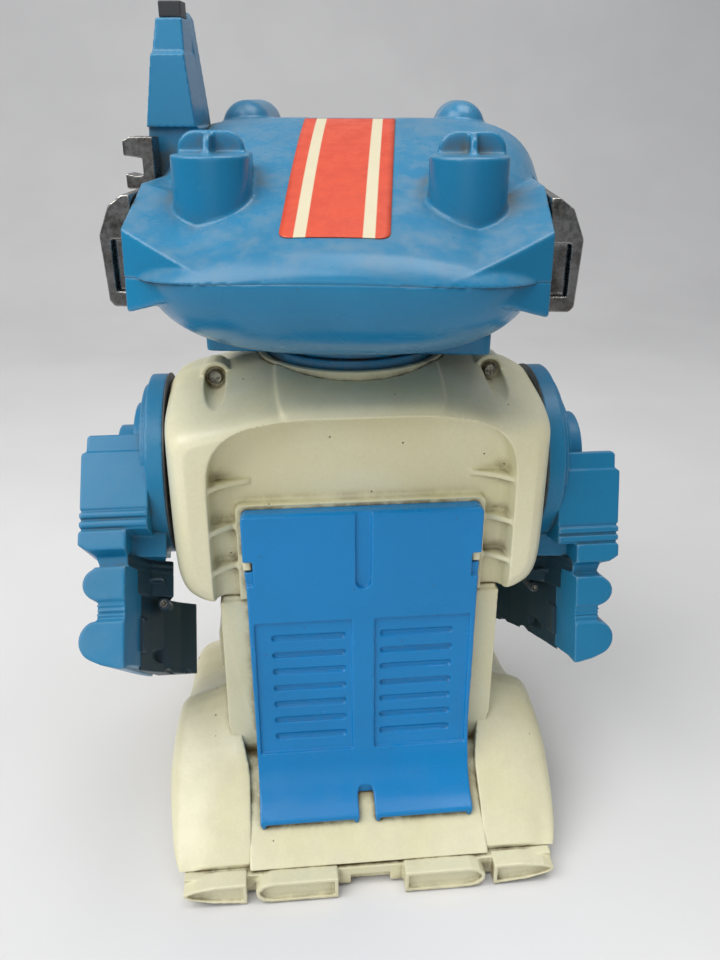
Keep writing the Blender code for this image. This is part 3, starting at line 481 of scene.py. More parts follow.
RUBBER = worn_plastic("tyre", (0.018, 0.018, 0.018), (0.03, 0.029, 0.027), dust=0.3, grime_and_shade=0.5, rough=0.75,
                      grime_and_shade_colour=(0.09, 0.08, 0.06), specks=0.3, wear=0.2)
BOARD = worn_plastic("board", (0.03, 0.17, 0.06), (0.02, 0.12, 0.05), dust=0.3, rough=0.45)
JACKET = worn_plastic("jacket", (0.48, 0.30, 0.13), (0.36, 0.22, 0.1), dust=0.1, rough=0.3)
STEEL = dull_metal("dull_steel", (0.42, 0.40, 0.36))
CHROME = worn_chrome()
STICKER = sticker_look()
VISOR = clear_plastic("smoked_red", (0.10, 0.008, 0.008), (0.05, 0.004, 0.004), 0.08)
LENS = clear_plastic("yellow_lens", (0.75, 0.55, 0.08), (0.6, 0.42, 0.05), 0.12)
LOOKS = {
    "cream_plastic": CREAM, "blue_plastic": BLUE, "cover_plastic": COVER_BLUE, "black_plastic": BLACK,
    "chromed_plastic": CHROME, "steel": STEEL, "sticker": STICKER, "visor_plastic": VISOR,
    "lens_plastic": LENS, "board": BOARD, "cell_jacket": JACKET, "tyre_rubber": RUBBER,
    "gear_plastic": CREAM,
}


# Head, in its own frame before it is turned

def plan_share(y):
    reach = HEAD_BACK if y > 0 else HEAD_FRONT
    return max(0.0, 1 - (abs(y) / reach) ** 4) ** 0.25


def dome_rise(y, side):
    if y > 0:
        share = min(1.0, y / HEAD_BACK)
        crown = 0.12 + 0.88 * (1 - share**1.2) ** 0.9
        foot = max(0.0, (share - FOOT_FROM) / (1 - FOOT_FROM))
        crown *= math.sqrt(max(0.0, 1 - foot**2))
        power = max(2.5, 6 - 3.5 * y / 85)
    else:
        crown = (1 - (-y / HEAD_FRONT) ** 4) ** 0.5
        power = 6 - y / HEAD_FRONT
    return DOME_RISE * crown * (1 - side**power) ** (2 / power)


def bowl_rise(y, side):
    flat_back, flat_front = 50.0, -38.0
    fall = 1.0
    if y > flat_back:
        fall = math.sqrt(max(0.0, 1 - ((y - flat_back) / (HEAD_BACK - flat_back)) ** 2))
    if y < flat_front:
        fall = math.sqrt(max(0.0, 1 - ((flat_front - y) / (HEAD_FRONT + flat_front)) ** 2))
    return -BOWL_DROP * fall * (1 - side**3) ** 0.5


def head_half(rise, base, half_width):
    """One half of the head over its outline, closed by a flat lid."""
    rows = [-HEAD_FRONT * math.sin(math.radians(90 - a)) for a in range(0, 90, 4)]
    rows += [HEAD_BACK * math.sin(math.radians(a)) for a in [*range(0, 60, 4), *range(60, 91)]]
    sides = [math.sin(math.radians(a)) for a in range(-90, 91, 4)]
    sides[-1] = 1.0
    bm = bmesh.new()
    grid = []
    for y in rows:
        half = half_width * plan_share(y)
        line = []
        for s in sides:
            line.append(bm.verts.new((half * s, y, base + (rise(y, abs(s)) if half > 0.5 else 0.0))))
        grid.append(line)
    for first, second in zip(grid, grid[1:]):
        for i in range(len(sides) - 1):
            bm.faces.new((first[i], first[i + 1], second[i + 1], second[i]))
    bmesh.ops.remove_doubles(bm, verts=bm.verts, dist=0.02)
    rim = [edge for edge in bm.edges if edge.is_boundary]
    bmesh.ops.contextual_create(bm, geom=rim)
    bmesh.ops.triangulate(bm, faces=bm.faces)
    return bm


def flare(side):
    corners = [(42.0, 117.4, 298.4), (42.0, 117.4, 295.6), (SIDE_X, 94.5, 314.5), (SIDE_X, 97.5, 284.0),
               (SIDE_X, 62.0, 327.5), (SIDE_X, 20.0, 327.5), (SIDE_X, 20.0, 284.0), (52.0, 70.0, 320.0),
               (52.0, 20.0, 322.0), (52.0, 78.0, 287.0), (52.0, 20.0, 287.0)]
    return hull([(side * x, y, z) for x, y, z in corners])


def pod(side):
    outline = arc((side * 48.5, 74), 15, 0, 180, 6, 0.8) + [(side * 48.5 - 13, 54), (side * 48.5 + 13, 54)]
    return extruded(outline, 299.5, 338.8, "Z")


def pod_plate(side):
    middle = side * 50
    outline = [(middle + 13, 333)] + arc((middle + 6, 339.8), 7, 0, 90, 10)
    outline += arc((middle - 6, 339.8), 7, 90, 180, 10) + [(middle - 13, 333)]
    return extruded(outline, 61.6, 65.2, "Y")


def pod_rib(side):
    middle = side * 50
    outline = [(64, 333), (75.5, 333), (75.5, 339.2)] + arc((69.5, 341.5), 4.2, 0, 90, 15) + [(64, 345.7)]
    return extruded(outline, middle - 1.35, middle + 1.35, "X")


def blister(side):
    bm = ball((0, 0, 0), 11.5)
    for vert in bm.verts:
        vert.co.y += -22.0 if vert.co.y > 0 else -58.0
        vert.co += Vector((side * 50.0, 0, 345.5))
    return bm


# Levels of the tower and of the web before it: height, then the reach in x and in y
TOWER = ((318.0, 63.0, 87.5, -4.0, 22.0), (346.0, 63.5, 85.6, -4.0, 21.0), (346.5, 64.5, 85.6, -4.0, 24.0),
         (374.5, 68.0, 82.2, -2.0, 21.0), (375.5, 68.5, 82.0, -2.0, 18.0), (388.2, 69.0, 80.0, -1.0, 16.0))
WEB = ((330.0, 63.8, 86.0, -10.0, -3.0), (350.0, 65.2, 84.0, -10.0, -1.0), (389.0, 69.5, 78.0, -9.0, 1.0),
       (391.6, 71.0, 76.5, -8.0, 0.0))
TOWER_PLAY = 0.35


def tapered(sections, grow):
    rings = []
    for z, x0, x1, y0, y1 in sections:
        x0, x1, y0, y1 = x0 - grow, x1 + grow, y0 - grow, y1 + grow
        rings.append([(x0, y0, z), (x1, y0, z), (x1, y1, z), (x0, y1, z)])
    return loft(rings)


def over_dome(half, start, end, low, high, corner):
    """A strip that follows the dome's middle line, with its rear corners rounded."""
    rows = 80
    points = []
    length = 0.0
    for i in range(rows + 1):
        y = start + (end - start) * math.sin(math.pi / 2 * i / rows)
        z = SEAM_Z + dome_rise(y, 0.0)
        if points:
            length += math.hypot(y - points[-1][0], z - points[-1][1])
        points.append((y, z, length))
    rings = []
    for i, (y, z, run) in enumerate(points):
        y0, z0, _ = points[max(0, i - 1)]
        y1, z1, _ = points[min(rows, i + 1)]
        size = math.hypot(y1 - y0, z1 - z0)
        out = (-(z1 - z0) / size, (y1 - y0) / size)
        left = length - run
        reach = half
        if left < corner:
            reach = half - corner + math.sqrt(max(0.0, corner**2 - (corner - left) ** 2))
        ring = []
        for lift in (low, high):
            xs = [reach * (k / 8 - 1) for k in range(17)]
            if lift == high:
                xs.reverse()
            for x in xs:
                sag = SEAM_Z + dome_rise(y, abs(x) / (HEAD_HALF * plan_share(y))) - z
                ring.append((x, y + lift * out[0], z + sag + lift * out[1]))
        rings.append(ring)
    return loft(rings)


def turn_head(bm):
    bmesh.ops.rotate(bm, matrix=Matrix.Rotation(math.radians(HEAD_TURN), 3, "Z"), verts=bm.verts)
    bmesh.ops.translate(bm, vec=(0, NECK_Y, 0), verts=bm.verts)
    return bm


def settled(bm):
    """The head's parting line drawn up a little in the middle of the back."""
    lift, half, reach = 2.8, 80.0, 14.0
    for vert in bm.verts:
        x, y, z = vert.co
        back = max(0.0, y / HEAD_BACK) ** 2 * max(0.0, 1 - (x / half) ** 2)
        vert.co.z += lift * back * math.exp(-(((z - SEAM_Z) / reach) ** 2))
    return bm


CHEEKS = [((SIDE_X, 100), (24, 125), (270, 345)), ((-100, -SIDE_X), (24, 125), (270, 345))]


def head_dome():
    upper = cut(head_half(dome_rise, SEAM_Z - SEAM_GAP, HEAD_HALF), *[box(*cheek) for cheek in CHEEKS])
    for side in (1, -1):
        top_flare = cut(flare(side), box((-200, 200), (-200, 200), (200, SEAM_Z - SEAM_GAP)))
        upper = join(upper, top_flare, pod(side), pod_plate(side), pod_rib(side), blister(side))
    visor_gap = box((-56, 56), (-100, -74), (305, 331))
    sticker_seat = over_dome(21.4, -30, 104.0, -0.55, 4.0, 4.5)
    return cut(upper, tapered(TOWER, TOWER_PLAY), tapered(WEB, TOWER_PLAY), visor_gap, sticker_seat)


def head_bowl():
    """The lower half, with nicks of flash left on its parting line."""
    lower = cut(head_half(bowl_rise, SEAM_Z + SEAM_GAP, BOWL_HALF), *[box(*cheek) for cheek in CHEEKS])
    for side in (1, -1):
        lower = join(lower, cut(flare(side), box((-200, 200), (-200, 200), (SEAM_Z + SEAM_GAP, 400))))
    for x, y in ((-50.6, 113.4), (-47.8, 115.0), (47.4, 115.2), (51.6, 112.8)):
        lower = join(lower, ball((x, y, SEAM_Z - 0.2), 1.0, (1.4, 1.6, 1.3)))
    return lower


def head():
    upper = moulded(head_dome(), 0.75, 5, 0.6)
    piece("head_dome", turn_head(settled(upper)), "head", ["head_upper_shell"], BLUE)
    lower = moulded(head_bowl(), 0.8, 5, 0.6)
    piece("head_bowl", turn_head(settled(lower)), "head", ["head_lower_shell"], BLUE)
    sticker = over_dome(20.0, 2.0, 102.5, -0.45, -0.05, 4.0)
    bmesh.ops.recalc_face_normals(sticker, faces=sticker.faces)
    piece("stripe_sticker", turn_head(settled(sticker)), "head", ["head_sticker"], STICKER)
    for node, voxel in (("jaw_plate", 0.7), ("neck_ring", 0.7), ("tower", 0.5), ("ear_left", 0.45),
                        ("ear_right", 0.45), ("ear_clip", 0.35), ("tower_tip", 0.3)):
        remade(node, voxel)


# Torso

TORSO_HALF = 89.5
TORSO_OUTLINE = [
    (0, 249.4), (20, 249.3), (38, 249.0), (38.2, 247.2), (44, 246.3), (60, 242.5), (77, 239.0),
    (85.5, 235.5), (89.0, 230.0), (TORSO_HALF, 222.0), (TORSO_HALF, 165.0), (88.6, 152.0), (86, 144.0),
    (80.5, 139.0), (73, 136.5)]
# Depth, then how far the outline has moved in at the sides, down at the top and up at the bottom
TORSO_KEYS = [(1.75, 0, 0, 0), (22, 0.6, 2.5, 0), (38, 0.9, 6, 0), (52, 2.7, 10, 1.5), (59, 6.0, 13, 4),
              (62, 10.5, 17, 8)]
SCREW_X = 65.6
SCREW_Z = 238.0


def torso_ring(y, inset, drop, lift):
    ring = []
    for x, z in fair(mirrored(TORSO_OUTLINE), 2):
        top = min(1.0, max(0.0, (z - 200) / 40))
        low = min(1.0, max(0.0, (165 - z) / 25))
        ring.append((x * (1 - inset / TORSO_HALF), y, z - drop * top + lift * low))
    return ring


def inside_outline():
    return mirrored([(20, 236), (60, 230), (80, 224), (85, 214), (85, 172), (82, 152), (74, 143.5),
                     (20, 140.5)])


RECESS = [(15, 232.0), (35, 230.8), (52, 227.5), (61, 223.0), (67, 215.0), (69.5, 203.0), (69.5, 100.0)]


def recess_cutter():
    """The rear panel's hollow, with a filleted foot to its walls."""
    floor_y, fillet = 49.0, 4.5
    rings = []
    for angle in range(0, 91, 15):
        turn = math.radians(angle)
        inset = fillet * (1 - math.sin(turn))
        y = floor_y + fillet * (1 - math.cos(turn))
        # The last points round the corner that closes the outline, so they are dropped
        outline = fair([(x - inset, z - inset * (z > 150)) for x, z in RECESS], 3)[:-8]
        rings.append([(x, y, z) for x, z in mirrored(outline)])
    rings.append([(x * 1.03, 80.0, z) for x, y, z in rings[-1]])
    return loft(rings)


def screw_well(back, side):
    """The slanting channel over a shell screw, in a boss, with the screw's hole."""
    place = (side * SCREW_X, 14.2, SCREW_Z)
    channel = rod("Y", (0, 0, 0), 5.0, 60, 40)
    bmesh.ops.rotate(channel, matrix=Matrix.Rotation(math.radians(-1.0), 3, "X"), verts=channel.verts)
    bmesh.ops.translate(channel, vec=place, verts=channel.verts)
    back = join(back, rod("Y", (side * SCREW_X, 3.1, SCREW_Z), 7.4, 13.0, 48))
    return cut(back, channel, rod("Y", (side * SCREW_X, -5, SCREW_Z), 1.9, 40, 16))


def rear_shell():
    """The back with its hollow, the pad behind the cover, catches, screw wells and ribs."""
    back = loft([torso_ring(*key) for key in spline(TORSO_KEYS, 8)])
    back = cut(back, extruded(inside_outline(), -5, 45.5, "Y"), recess_cutter())
    pad = [(-58.5, 138.5), (58.5, 138.5)] + arc((55.5, 185.6), 3, 0, 90, 15)
    pad += arc((-55.5, 185.6), 3, 90, 180, 15)
    back = join(back, extruded(pad, 47, 54, "Y"))
    for side in (1, -1):
        back = join(back, box(sorted((side * 51.9, side * 56)), (53, 60), (157.3, 162.7)))
        back = screw_well(back, side)
        curve = spline([(71, 62.0), (68.6, 60.0), (64, 56.0), (59, 53.0), (51, 50.2)], 5)
        outline = [(side * x, y) for x, y in curve + [(51, 47), (71, 47)]]
        for z in (199.0, 177.5, 157.0):
            back = join(back, extruded(outline, z - 1.35, z + 1.35, "Z"))
    return back


def front_shell():
    front = loft([torso_ring(4.0 - y, *rest) for y, *rest in spline(TORSO_KEYS, 5)])
    front = cut(front, extruded(inside_outline(), -56.5, 5, "Y"))
    chest = fair([(52, 222), (52, 158), (-52, 158), (-52, 222)], 2)
    return cut(front, extruded(chest, -80, -58.5, "Y"), box((18.5, 37.5), (-70, -50), (167.5, 176.5)))


def opened(shell):
    """The shell with the shoulder shaft's bore, the neck's bore and seat, and the opening below."""
    return cut(shell, rod("X", (-120, *SHOULDER), 9.6, 240, 48), rod("Z", (0, NECK_Y, 225), 12.6, 40, 48),
               rod("Z", (0, NECK_Y, 241), 46.3, 20, 96), box((-44, 44), (-32, 30), (120, 150)))


def lower_body():
    """The CAD column with wings at its sides and a ledge under the pad."""
    column = join(cad("lower_body"), box((-67.0, 67.0), (20, 50.4), (133.0, 138.4)))
    outline = ((52.0, 136.0), (68.3, 136.0), (68.6, 62.0), (66.0, 43.0), (52.0, 43.0))
    for side in (1, -1):
        wing = extruded([(side * x, z) for x, z in outline], -38.0, 51.8, "Y")
        column = join(column, cut(wing, box((-50.5, 50.5), (-60, 60), (0, 200))))
    return column


# A thin black washer, a little wider than the hub; its rim also paints the dark shade in the gap between
# torso and hub
def washer(side):
    disc = rod("X", (side * 89.85 - 0.25, *SHOULDER), 45.4, 0.5, 128)
    return cut(disc, rod("X", (side * 90 - 5, *SHOULDER), 9.6, 10, 32))


def torso():
    back, front = opened(rear_shell()), opened(front_shell())
    back = moulded(back, 0.6, 6, 0.5)
    piece("torso_back", back, "chassis", ["torso_rear_shell"], CREAM)
    front = moulded(front, 0.9, 4, 0.5)
    piece("torso_front", front, "chassis", ["torso_front_shell"], CREAM)
    remade("neck_collar", 0.6)
    column = moulded(lower_body(), 0.75, 3, 0.6)
    piece("lower_body_skin", column, "chassis", ["lower_body"], CREAM)
    remade("chest_panel", 0.5)
    remade("power_switch", 0.3)
    for name, side in (("left", 1), ("right", -1)):
        node = f"shoulder_washer_{name}"
        piece(f"washer_{name}", washer(side), "chassis", [node], BLACK)


# Battery cover

COVER_HALF = 56.0
COVER_TOP = 186.6
# The face's side view from the top edge down: depth and height
COVER_KEYS = [(60.2, COVER_TOP), (61.8, COVER_TOP - 1.2), (62.8, 131.5), (64.2, 83.0), (65.2, 64.0),
              (67.9, 52.4), (73.0, 41.5), (80.0, 34.5), (88.0, 30.0)]
COVER_LINE = COVER_KEYS[:2] + spline(COVER_KEYS[2:], 6)
COVER_WALL = 4.0
VENT_ROWS = 7
VENT_TOP = 120.2
VENT_STEP = 9.62


def face_at(z):
    """How far back the cover's face is at this height."""
    for (y0, z0), (y1, z1) in zip(COVER_LINE, COVER_LINE[1:]):
        if z1 <= z <= z0:
            return y0 + (y1 - y0) * (z0 - z) / (z0 - z1)
    return COVER_LINE[-1][0]


def face_cutter(high, low, depth):
    """A side view that sinks the face by the depth between two heights."""
    line = [(face_at(high), high)] + [p for p in COVER_LINE if low < p[1] < high] + [(face_at(low), low)]
    return [(y - depth, z) for y, z in line] + [(80, low), (80, high)]


def stadium(x0, x1, z, radius):
    return arc((x1 - radius, z), radius, -90, 90, 15) + arc((x0 + radius, z), radius, 90, 270, 15)


def cover_blank():
    """The cover as a thin shell, before its panels, vents and grooves."""
    seat = [(88.4, 27.5), (84.5, 27.6), (63.0, 42.2), (52.3, 42.2), (52.3, 137.6), (54.3, 137.6),
            (54.3, COVER_TOP)]
    cover = extruded(COVER_LINE + seat, -COVER_HALF, COVER_HALF, "X")
    inner = [(57.0, COVER_TOP - 3.5)] + [(y - COVER_WALL, z) for y, z in COVER_LINE[2:-1]]
    inner += [(83.2, 29.6), (83.0, 20.0), (40.0, 20.0), (40.0, COVER_TOP - 3.5)]
    cover = cut(cover, extruded(inner, 3.5 - COVER_HALF, COVER_HALF - 3.5, "X"))
    outline = [(0, 187)] + list(reversed(arc((52.8, 183.4), 3.3, 0, 90, 15)))
    outline += [(COVER_HALF, 163.0), (54.9, 148.0), (54.2, 60.0), (53.4, 20.0), (0, 20.0)]
    return combined(cover, "INTERSECT", [extruded(mirrored(outline)[:-1], 30, 100, "Y")])


def cover_side(cover, side):
    """One side's latch notches, sunk panel, vents and feet."""
    cover = cut(cover, box(sorted((side * 51.6, side * 60)), (40, 70), (157.0, 163.0)),
                box(sorted((side * 51.6, side * 60)), (60.6, 70), (150.5, 158.0)))
    cover = cut(cover, extruded(face_cutter(129.8, 54.5, 1.5), *sorted((side * 5.5, side * 52.2)), "X"))
    low, high = sorted((side * 8.4, side * 44.3))
    for row in range(VENT_ROWS):
        z = VENT_TOP - row * VENT_STEP
        cover = cut(cover, extruded(stadium(low, high, z, 1.6), face_at(z) - 2.9, 80, "Y"))
    for inner, outer in ((50.8, 53.2), (4.4, 6.6)):
        cover = join(cover, box(sorted((side * inner, side * outer)), (84.2, 87.8), (25.0, 30.5)))
    return cover


def battery_cover():
    cover = cover_blank()
    for side in (1, -1):
        cover = cover_side(cover, side)
    tunnel = [(68.0, 37.6), (84.0, 28.4)]
    tunnel += [(y - 0.6, z) for y, z in reversed(COVER_LINE) if 30.5 < z < 43.5]
    tunnel.append((68.0, 43.0))
    cover = join(cover, extruded(tunnel, -5.7, 5.7, "X"))
    groove = arc((0, 150.4), 3.7, 180, 360, 15) + [(3.7, 200), (-3.7, 200)]
    notch = arc((0, 34.6), 4.0, 0, 180, 15) + [(-4.1, 20), (4.1, 20)]
    cover = cut(cover, extruded(groove, 60.55, 80, "Y"), extruded(notch, 75.4, 100, "Y"),
                extruded([(-4.0, 20), (4.0, 20), (4.0, 31.6), (-4.0, 31.6)], 58, 100, "Y"))
    cover = moulded(cover, 0.55, 2, 0.75)
    piece("cover", cover, "battery_cover", ["battery_cover"], COVER_BLUE)


# Base

# From the tail to the front: depth, the inner and outer edges' heights, and the reach outwards
FENDER_KEYS = (
    (99.0, 15.0, 13.0, 94.0), (88.0, 25.0, 21.0, 97.0), (70.0, 40.0, 35.0, 99.5),
    (50.0, 56.0, 49.0, 100.5), (27.0, 67.5, 60.0, 98.5), (12.0, 57.0, 50.0, 98.0),
    (-15.0, 46.0, 42.0, 96.0), (-45.0, 41.0, 39.0, 95.5), (-70.0, 31.0, 28.0, 94.0),
    (-88.0, 21.0, 18.0, 90.0), (-92.0, 15.0, 14.0, 86.0))
FENDER_LOW = 12.4


def fender_ring(side, y, inner, outer, reach):
    edge = 58.4 + 10.2 * min(1.0, max(0.0, (66 - y) / 38))
    fall = outer - FENDER_LOW
    bend = [(edge + 4, inner), (80, (inner + outer) / 2 + 0.8), (reach - 7, outer),
            (reach - 2, outer - fall * 0.16), (reach, FENDER_LOW + fall * 0.55), (reach - 1, FENDER_LOW)]
    ring = [(57.2, FENDER_LOW), (edge, inner)] + spline(bend, 4)
    return [(side * x, y, z) for x, z in ring]


def fender(name, side):
    """A wheel cover, hollow underneath, with a hole for each axle's end."""
    cover = loft([fender_ring(side, *key) for key in spline(FENDER_KEYS, 4)])
    hollow = [(-66, 0), (-66, 20), (-60, 28), (-45, 35.6), (-25, 36.4), (0, 38), (40, 44), (60, 37),
              (75, 22), (76, 0)]
    cover = cut(cover, extruded(hollow, *sorted((side * 60.2, side * 93.5)), "X"))
    for y in AXLES_Y:
        cover = cut(cover, rod("X", (side * 59 - 5, y, 17.0), 3.4, 10, 32))
    cover = moulded(cover, 0.75, 4, 0.5)
    piece(f"fender_skin_{name}", cover, "chassis", [f"fender_{name}"], CREAM)


def deck():
    """The CAD deck, wider and with a shelf along each side."""
    shape = cad("base_deck")
    for vert in shape.verts:
        if abs(vert.co.x) > 50:
            vert.co.x = math.copysign(59.4, vert.co.x)
    shelf = [(-38.0, 36.5), (-38.0, 43.5), (58.0, 43.5), (66.0, 38.5), (66.0, 34.5), (58.0, 36.5)]
    for side in (1, -1):
        shape = join(shape, extruded(shelf, *sorted((side * 53.9, side * 69.0)), "X"))
    piece("deck", moulded(shape, 0.7, 3, 0.5), "chassis", ["base_deck"], CREAM)


def base():
    fender("left", 1)
    fender("right", -1)
    deck()
    tub()


def shrunk(points, rim):
    """The outline moved in from its own box's sides by the rim, in proportion."""
    xs, zs = zip(*points)
    half_x, half_z = (max(xs) - min(xs)) / 2, (max(zs) - min(zs)) / 2
    mid_x, mid_z = min(xs) + half_x, min(zs) + half_z
    return [(mid_x + (x - mid_x) * (1 - rim / half_x), mid_z + (z - mid_z) * (1 - rim / half_z))
            for x, z in points]


def tub():
    """The floor with its wheel openings and the four shallow boxes across the tail."""
    plan = mirrored([(91, 103.5), (91, -80), (80, -87)])
    inside = mirrored([(87.5, 96), (87.5, -77), (78, -83.5)])
    shape = cut(extruded(plan, 2.0, 12.1, "Z"), extruded(inside, 4.1, 20, "Z"))
    inner = [(16.5, 0.6), (49, 0.6), (53.5, 2.0), (56.4, 5.6), (56.4, 8.6), (53.4, 12.0), (49, 13.3),
             (16.5, 13.3)]
    outer = [(60.8, 0.6), (78, 2.6), (88.5, 5.9), (91.3, 8.2), (91.0, 9.4), (86, 11.6), (74, 13.3),
             (60.8, 13.3)]
    for side in (1, -1):
        for y in AXLES_Y:
            shape = cut(shape, box(sorted((side * 66.5, side * 86)), (y - 19.5, y + 19.5), (-5, 20)))
        for outline, depth in ((inner, 110.5), (outer, 110.0)):
            rim = [(side * x, z) for x, z in outline]
            recess = [(side * x, z) for x, z in shrunk(outline, 1.9)]
            shape = join(shape, extruded(rim, 100.5, depth, "Y"))
            shape = cut(shape, extruded(recess, depth - 2.4, 120, "Y"))
    shape = cut(shape, box((-9.8, 9.8), (100.5, 120), (-5, 7.5)))
    piece("tub", moulded(shape, 0.5, 3, 0.4), "chassis", ["base_tub"], CREAM)


# Arms, in their own frame before they swing

def arm_part(bm, swing):
    bmesh.ops.rotate(bm, matrix=Matrix.Rotation(math.radians(swing), 3, "X"), verts=bm.verts)
    bmesh.ops.translate(bm, vec=(0, *SHOULDER), verts=bm.verts)
    return bm


# The arm's rear view from the top down: the box with its bands, two lobes, then the inner side
ARM_LINE = [
    (97.6, 3.4), (124.4, 3.4), (125.6, 2.2), (125.8, -5.0), (127.2, -5.4), (128.0, -6.4), (128.0, -32.0),
    (127.0, -33.0), (128.0, -34.2), (128.0, -36.0), (127.0, -37.2), (128.0, -38.4), (128.0, -40.2),
    (126.8, -41.6), (128.2, -43.0), (128.2, -48.6), (124.5, -51.0), (121.0, -53.5), (119.5, -57.5),
    (120.6, -58.8)]
UPPER_LOBE = arc((118.4, -66.4), 7.3, -68, 68, 8)
LOWER_LOBE = arc((117.6, -91.2), 9.2, -62, 66, 8)
ARM_END = [(117.0, -101.6), (110.0, -103.4), (107.0, -103.6), (107.0, -42.0), (97.6, -42.0)]


def arm_shell(side):
    waist = [(118.9, -74.4)]
    waist += [(118.9 + 0.55 * (i % 2), -74.9 - 0.95 * i) for i in range(8)]
    waist.append((118.9, -82.4))
    line = ARM_LINE + list(reversed(UPPER_LOBE)) + waist + list(reversed(LOWER_LOBE)) + ARM_END
    shell = extruded([(side * x, z) for x, z in line], -39, 39, "Y")
    wide = sorted((side * 90, side * 135))
    shell = cut(shell, box(wide, (38.0, 45), (-32.2, 8)), box(wide, (37.2, 45), (-5.2, 8)),
                extruded([(34.0, 3.6), (34.0, 20), (-50, 20), (-50, -17.0)], *wide, "X"))
    for z in (-32.8, -37.0, -41.4):
        shell = cut(shell, box(wide, (37.4, 45), (z - 0.7, z + 0.7)))
    neck = [(45, -51.2), (38.6, -51.2), (34.0, -53.4), (33.4, -58.8), (45, -58.8)]
    shell = cut(shell, extruded(neck, *wide, "X"))
    shell = cut(shell, box(wide, (38.2, 45), (-83.0, -73.6)))
    for i in range(4):
        z = -75.0 - 2.1 * i
        shell = cut(shell, box(wide, (37.3, 45), (z - 0.55, z + 0.55)))
    shell = cut(shell, box(sorted((side * 95, side * 116)), (-36.4, 36.4), (-100.8, -60.0)))
    web = [(91.6, 20), (108, 24), (108, -34), (101, -34)]
    rim = [(107.2, 38.4), (106.4, 35.5), (104.6, 27), (103.6, 20), (103.6, -34), (107.2, -34)]
    shell = join(shell, extruded([(side * x, y) for x, y in web], -52.0, -40.0, "Z"),
                 extruded([(side * x, y) for x, y in rim], -102.0, -58.0, "Z"))
    for x in (108.3, 120.6):
        lug = [(-38, -74), (-46, -74), (-50, -78), (-50, -82), (-46, -86), (-38, -86)]
        low, high = sorted((side * x, side * (x + 3)))
        shell = join(shell, extruded(lug, low, high, "X"))
    return cut(shell, rod("X", (side * 115 - 12, -45.5, -80.0), 1.5, 24, 24))


def shoulder_hub(side):
    def disc(start, radius, length):
        return rod("X", (start if side > 0 else -start - length, 0, 0), radius, length, 128)

    hub = join(disc(90.2, 45.0, 8.4), disc(76, 9, 40), disc(74, 11.5, 3), disc(97.0, 40, 4.6),
               disc(101.0, 31, 5.0), disc(105.5, 20, 10.0))
    for angle in (35, 145, 90):
        y = 39 * math.cos(math.radians(angle))
        z = 39 * math.sin(math.radians(angle))
        hub = cut(hub, box(sorted((side * 97.9, side * 104)), (y - 0.4, y + 0.4), (z - 7, z + 7)))
    return hub


HAND_SCREW = (94.6, -72.6)


def hand_plate(side):
    """The dark inner wall of the hand: a hollowed slope with steps, a boss, a groove and a hole."""
    slope = [(104.0, 20.6), (101.2, 8), (97.0, -8), (90.5, -23), (84.0, -32.5), (84.0, -36), (104.0, -36)]
    plate = extruded([(side * x, y) for x, y in slope], -103.5, -68, "Z")
    upper = [(107.2, 33.0), (104.6, 25.0), (99.5, 12.0), (90.4, 5.0), (101.0, -36), (107.2, -36)]
    plate = join(plate, extruded([(side * x, y) for x, y in upper], -69, -51.6, "Z"))
    for i, z in enumerate((-54.2, -57.0, -59.8)):
        step = [(side * x, y + 1.4 - 0.5 * i) for x, y in upper]
        plate = join(plate, extruded(step, z - 0.7, z + 0.7, "Z"))
    ring = cut(rod("Y", (side * 97.0, 0, -69.5), 8.8, 14.5, 64),
               rod("Y", (side * 97.0, -5, -69.5), 7.3, 50, 64))
    ring = cut(ring, box(sorted((side * 70, side * 94.0)), (-20, 40), (-90, -50)),
               box((-130, 130), (-20, 40), (-90, -72.0)))
    plate = join(plate, ring, rod("Y", (side * HAND_SCREW[0], -5, HAND_SCREW[1]), 2.7, 14.0, 40),
                 box(sorted((side * 101.6, side * 102.8)), (0, 20), (-95, -80)))
    plate = cut(plate, rod("Y", (side * 97.6, -8, -96.0), 3.1, 60, 40))
    for x in (95.5, 88.0):
        plate = cut(plate, box(sorted((side * (x - 1.1), side * (x + 1.1))), (-30, 20), (-110, -101.8)))
    return plate


def hand_screw(side):
    x, z = side * HAND_SCREW[0], HAND_SCREW[1]
    return cut(rod("Y", (x, 8.5, z), 2.0, 1.8, 32, 1.6),
               box((x - 0.3, x + 0.3), (9.6, 20), (z - 1.3, z + 1.3)),
               box((x - 1.3, x + 1.3), (9.6, 20), (z - 0.3, z + 0.3)))


def arms():
    for name, side in (("left", 1), ("right", -1)):
        swing = SWING[name]
        body = f"arm_{name}"
        shapes = (("shell", arm_shell(side), f"arm_shell_{name}", 0.55, "blue_plastic", ARM_BLUE),
                  ("hub", shoulder_hub(side), f"shoulder_hub_{name}", 0.65, "blue_plastic", ARM_BLUE),
                  ("plate", hand_plate(side), f"hand_plate_{name}", 0.5, "black_plastic", TEAL_BLACK))
        for part, shape, node, voxel, slot, look in shapes:
            skin = moulded(shape, voxel, 3, 0.5)
            piece(f"arm_{part}_{name}", arm_part(skin, swing), body, [node], look)
        piece(f"hand_screw_{name}", arm_part(hand_screw(side), swing), body, [], STEEL)


def finish_nodes():
    """Every CAD node takes its slot's finish, which shows on the nodes that nothing replaces."""
    for name, node in frame["nodes"].items():
        node.data.materials.clear()
        node.data.materials.append(LOOKS[SLOT_OF[name]])


# Studio, in metres

SWEEP_BEND = 0.9
AIM = Vector((0, 0.02, 0.2))
LIGHT_COLOUR = (1.0, 0.985, 0.955)
# Where each light hangs, its size and its power
LIGHTS = (("key", (0.85, 0.55, 1.35), 1.3, 23.0), ("fill", (0.3, 1.5, 0.75), 1.0, 3.2),
          ("top", (-0.25, 0.05, 1.5), 0.8, 9.0))


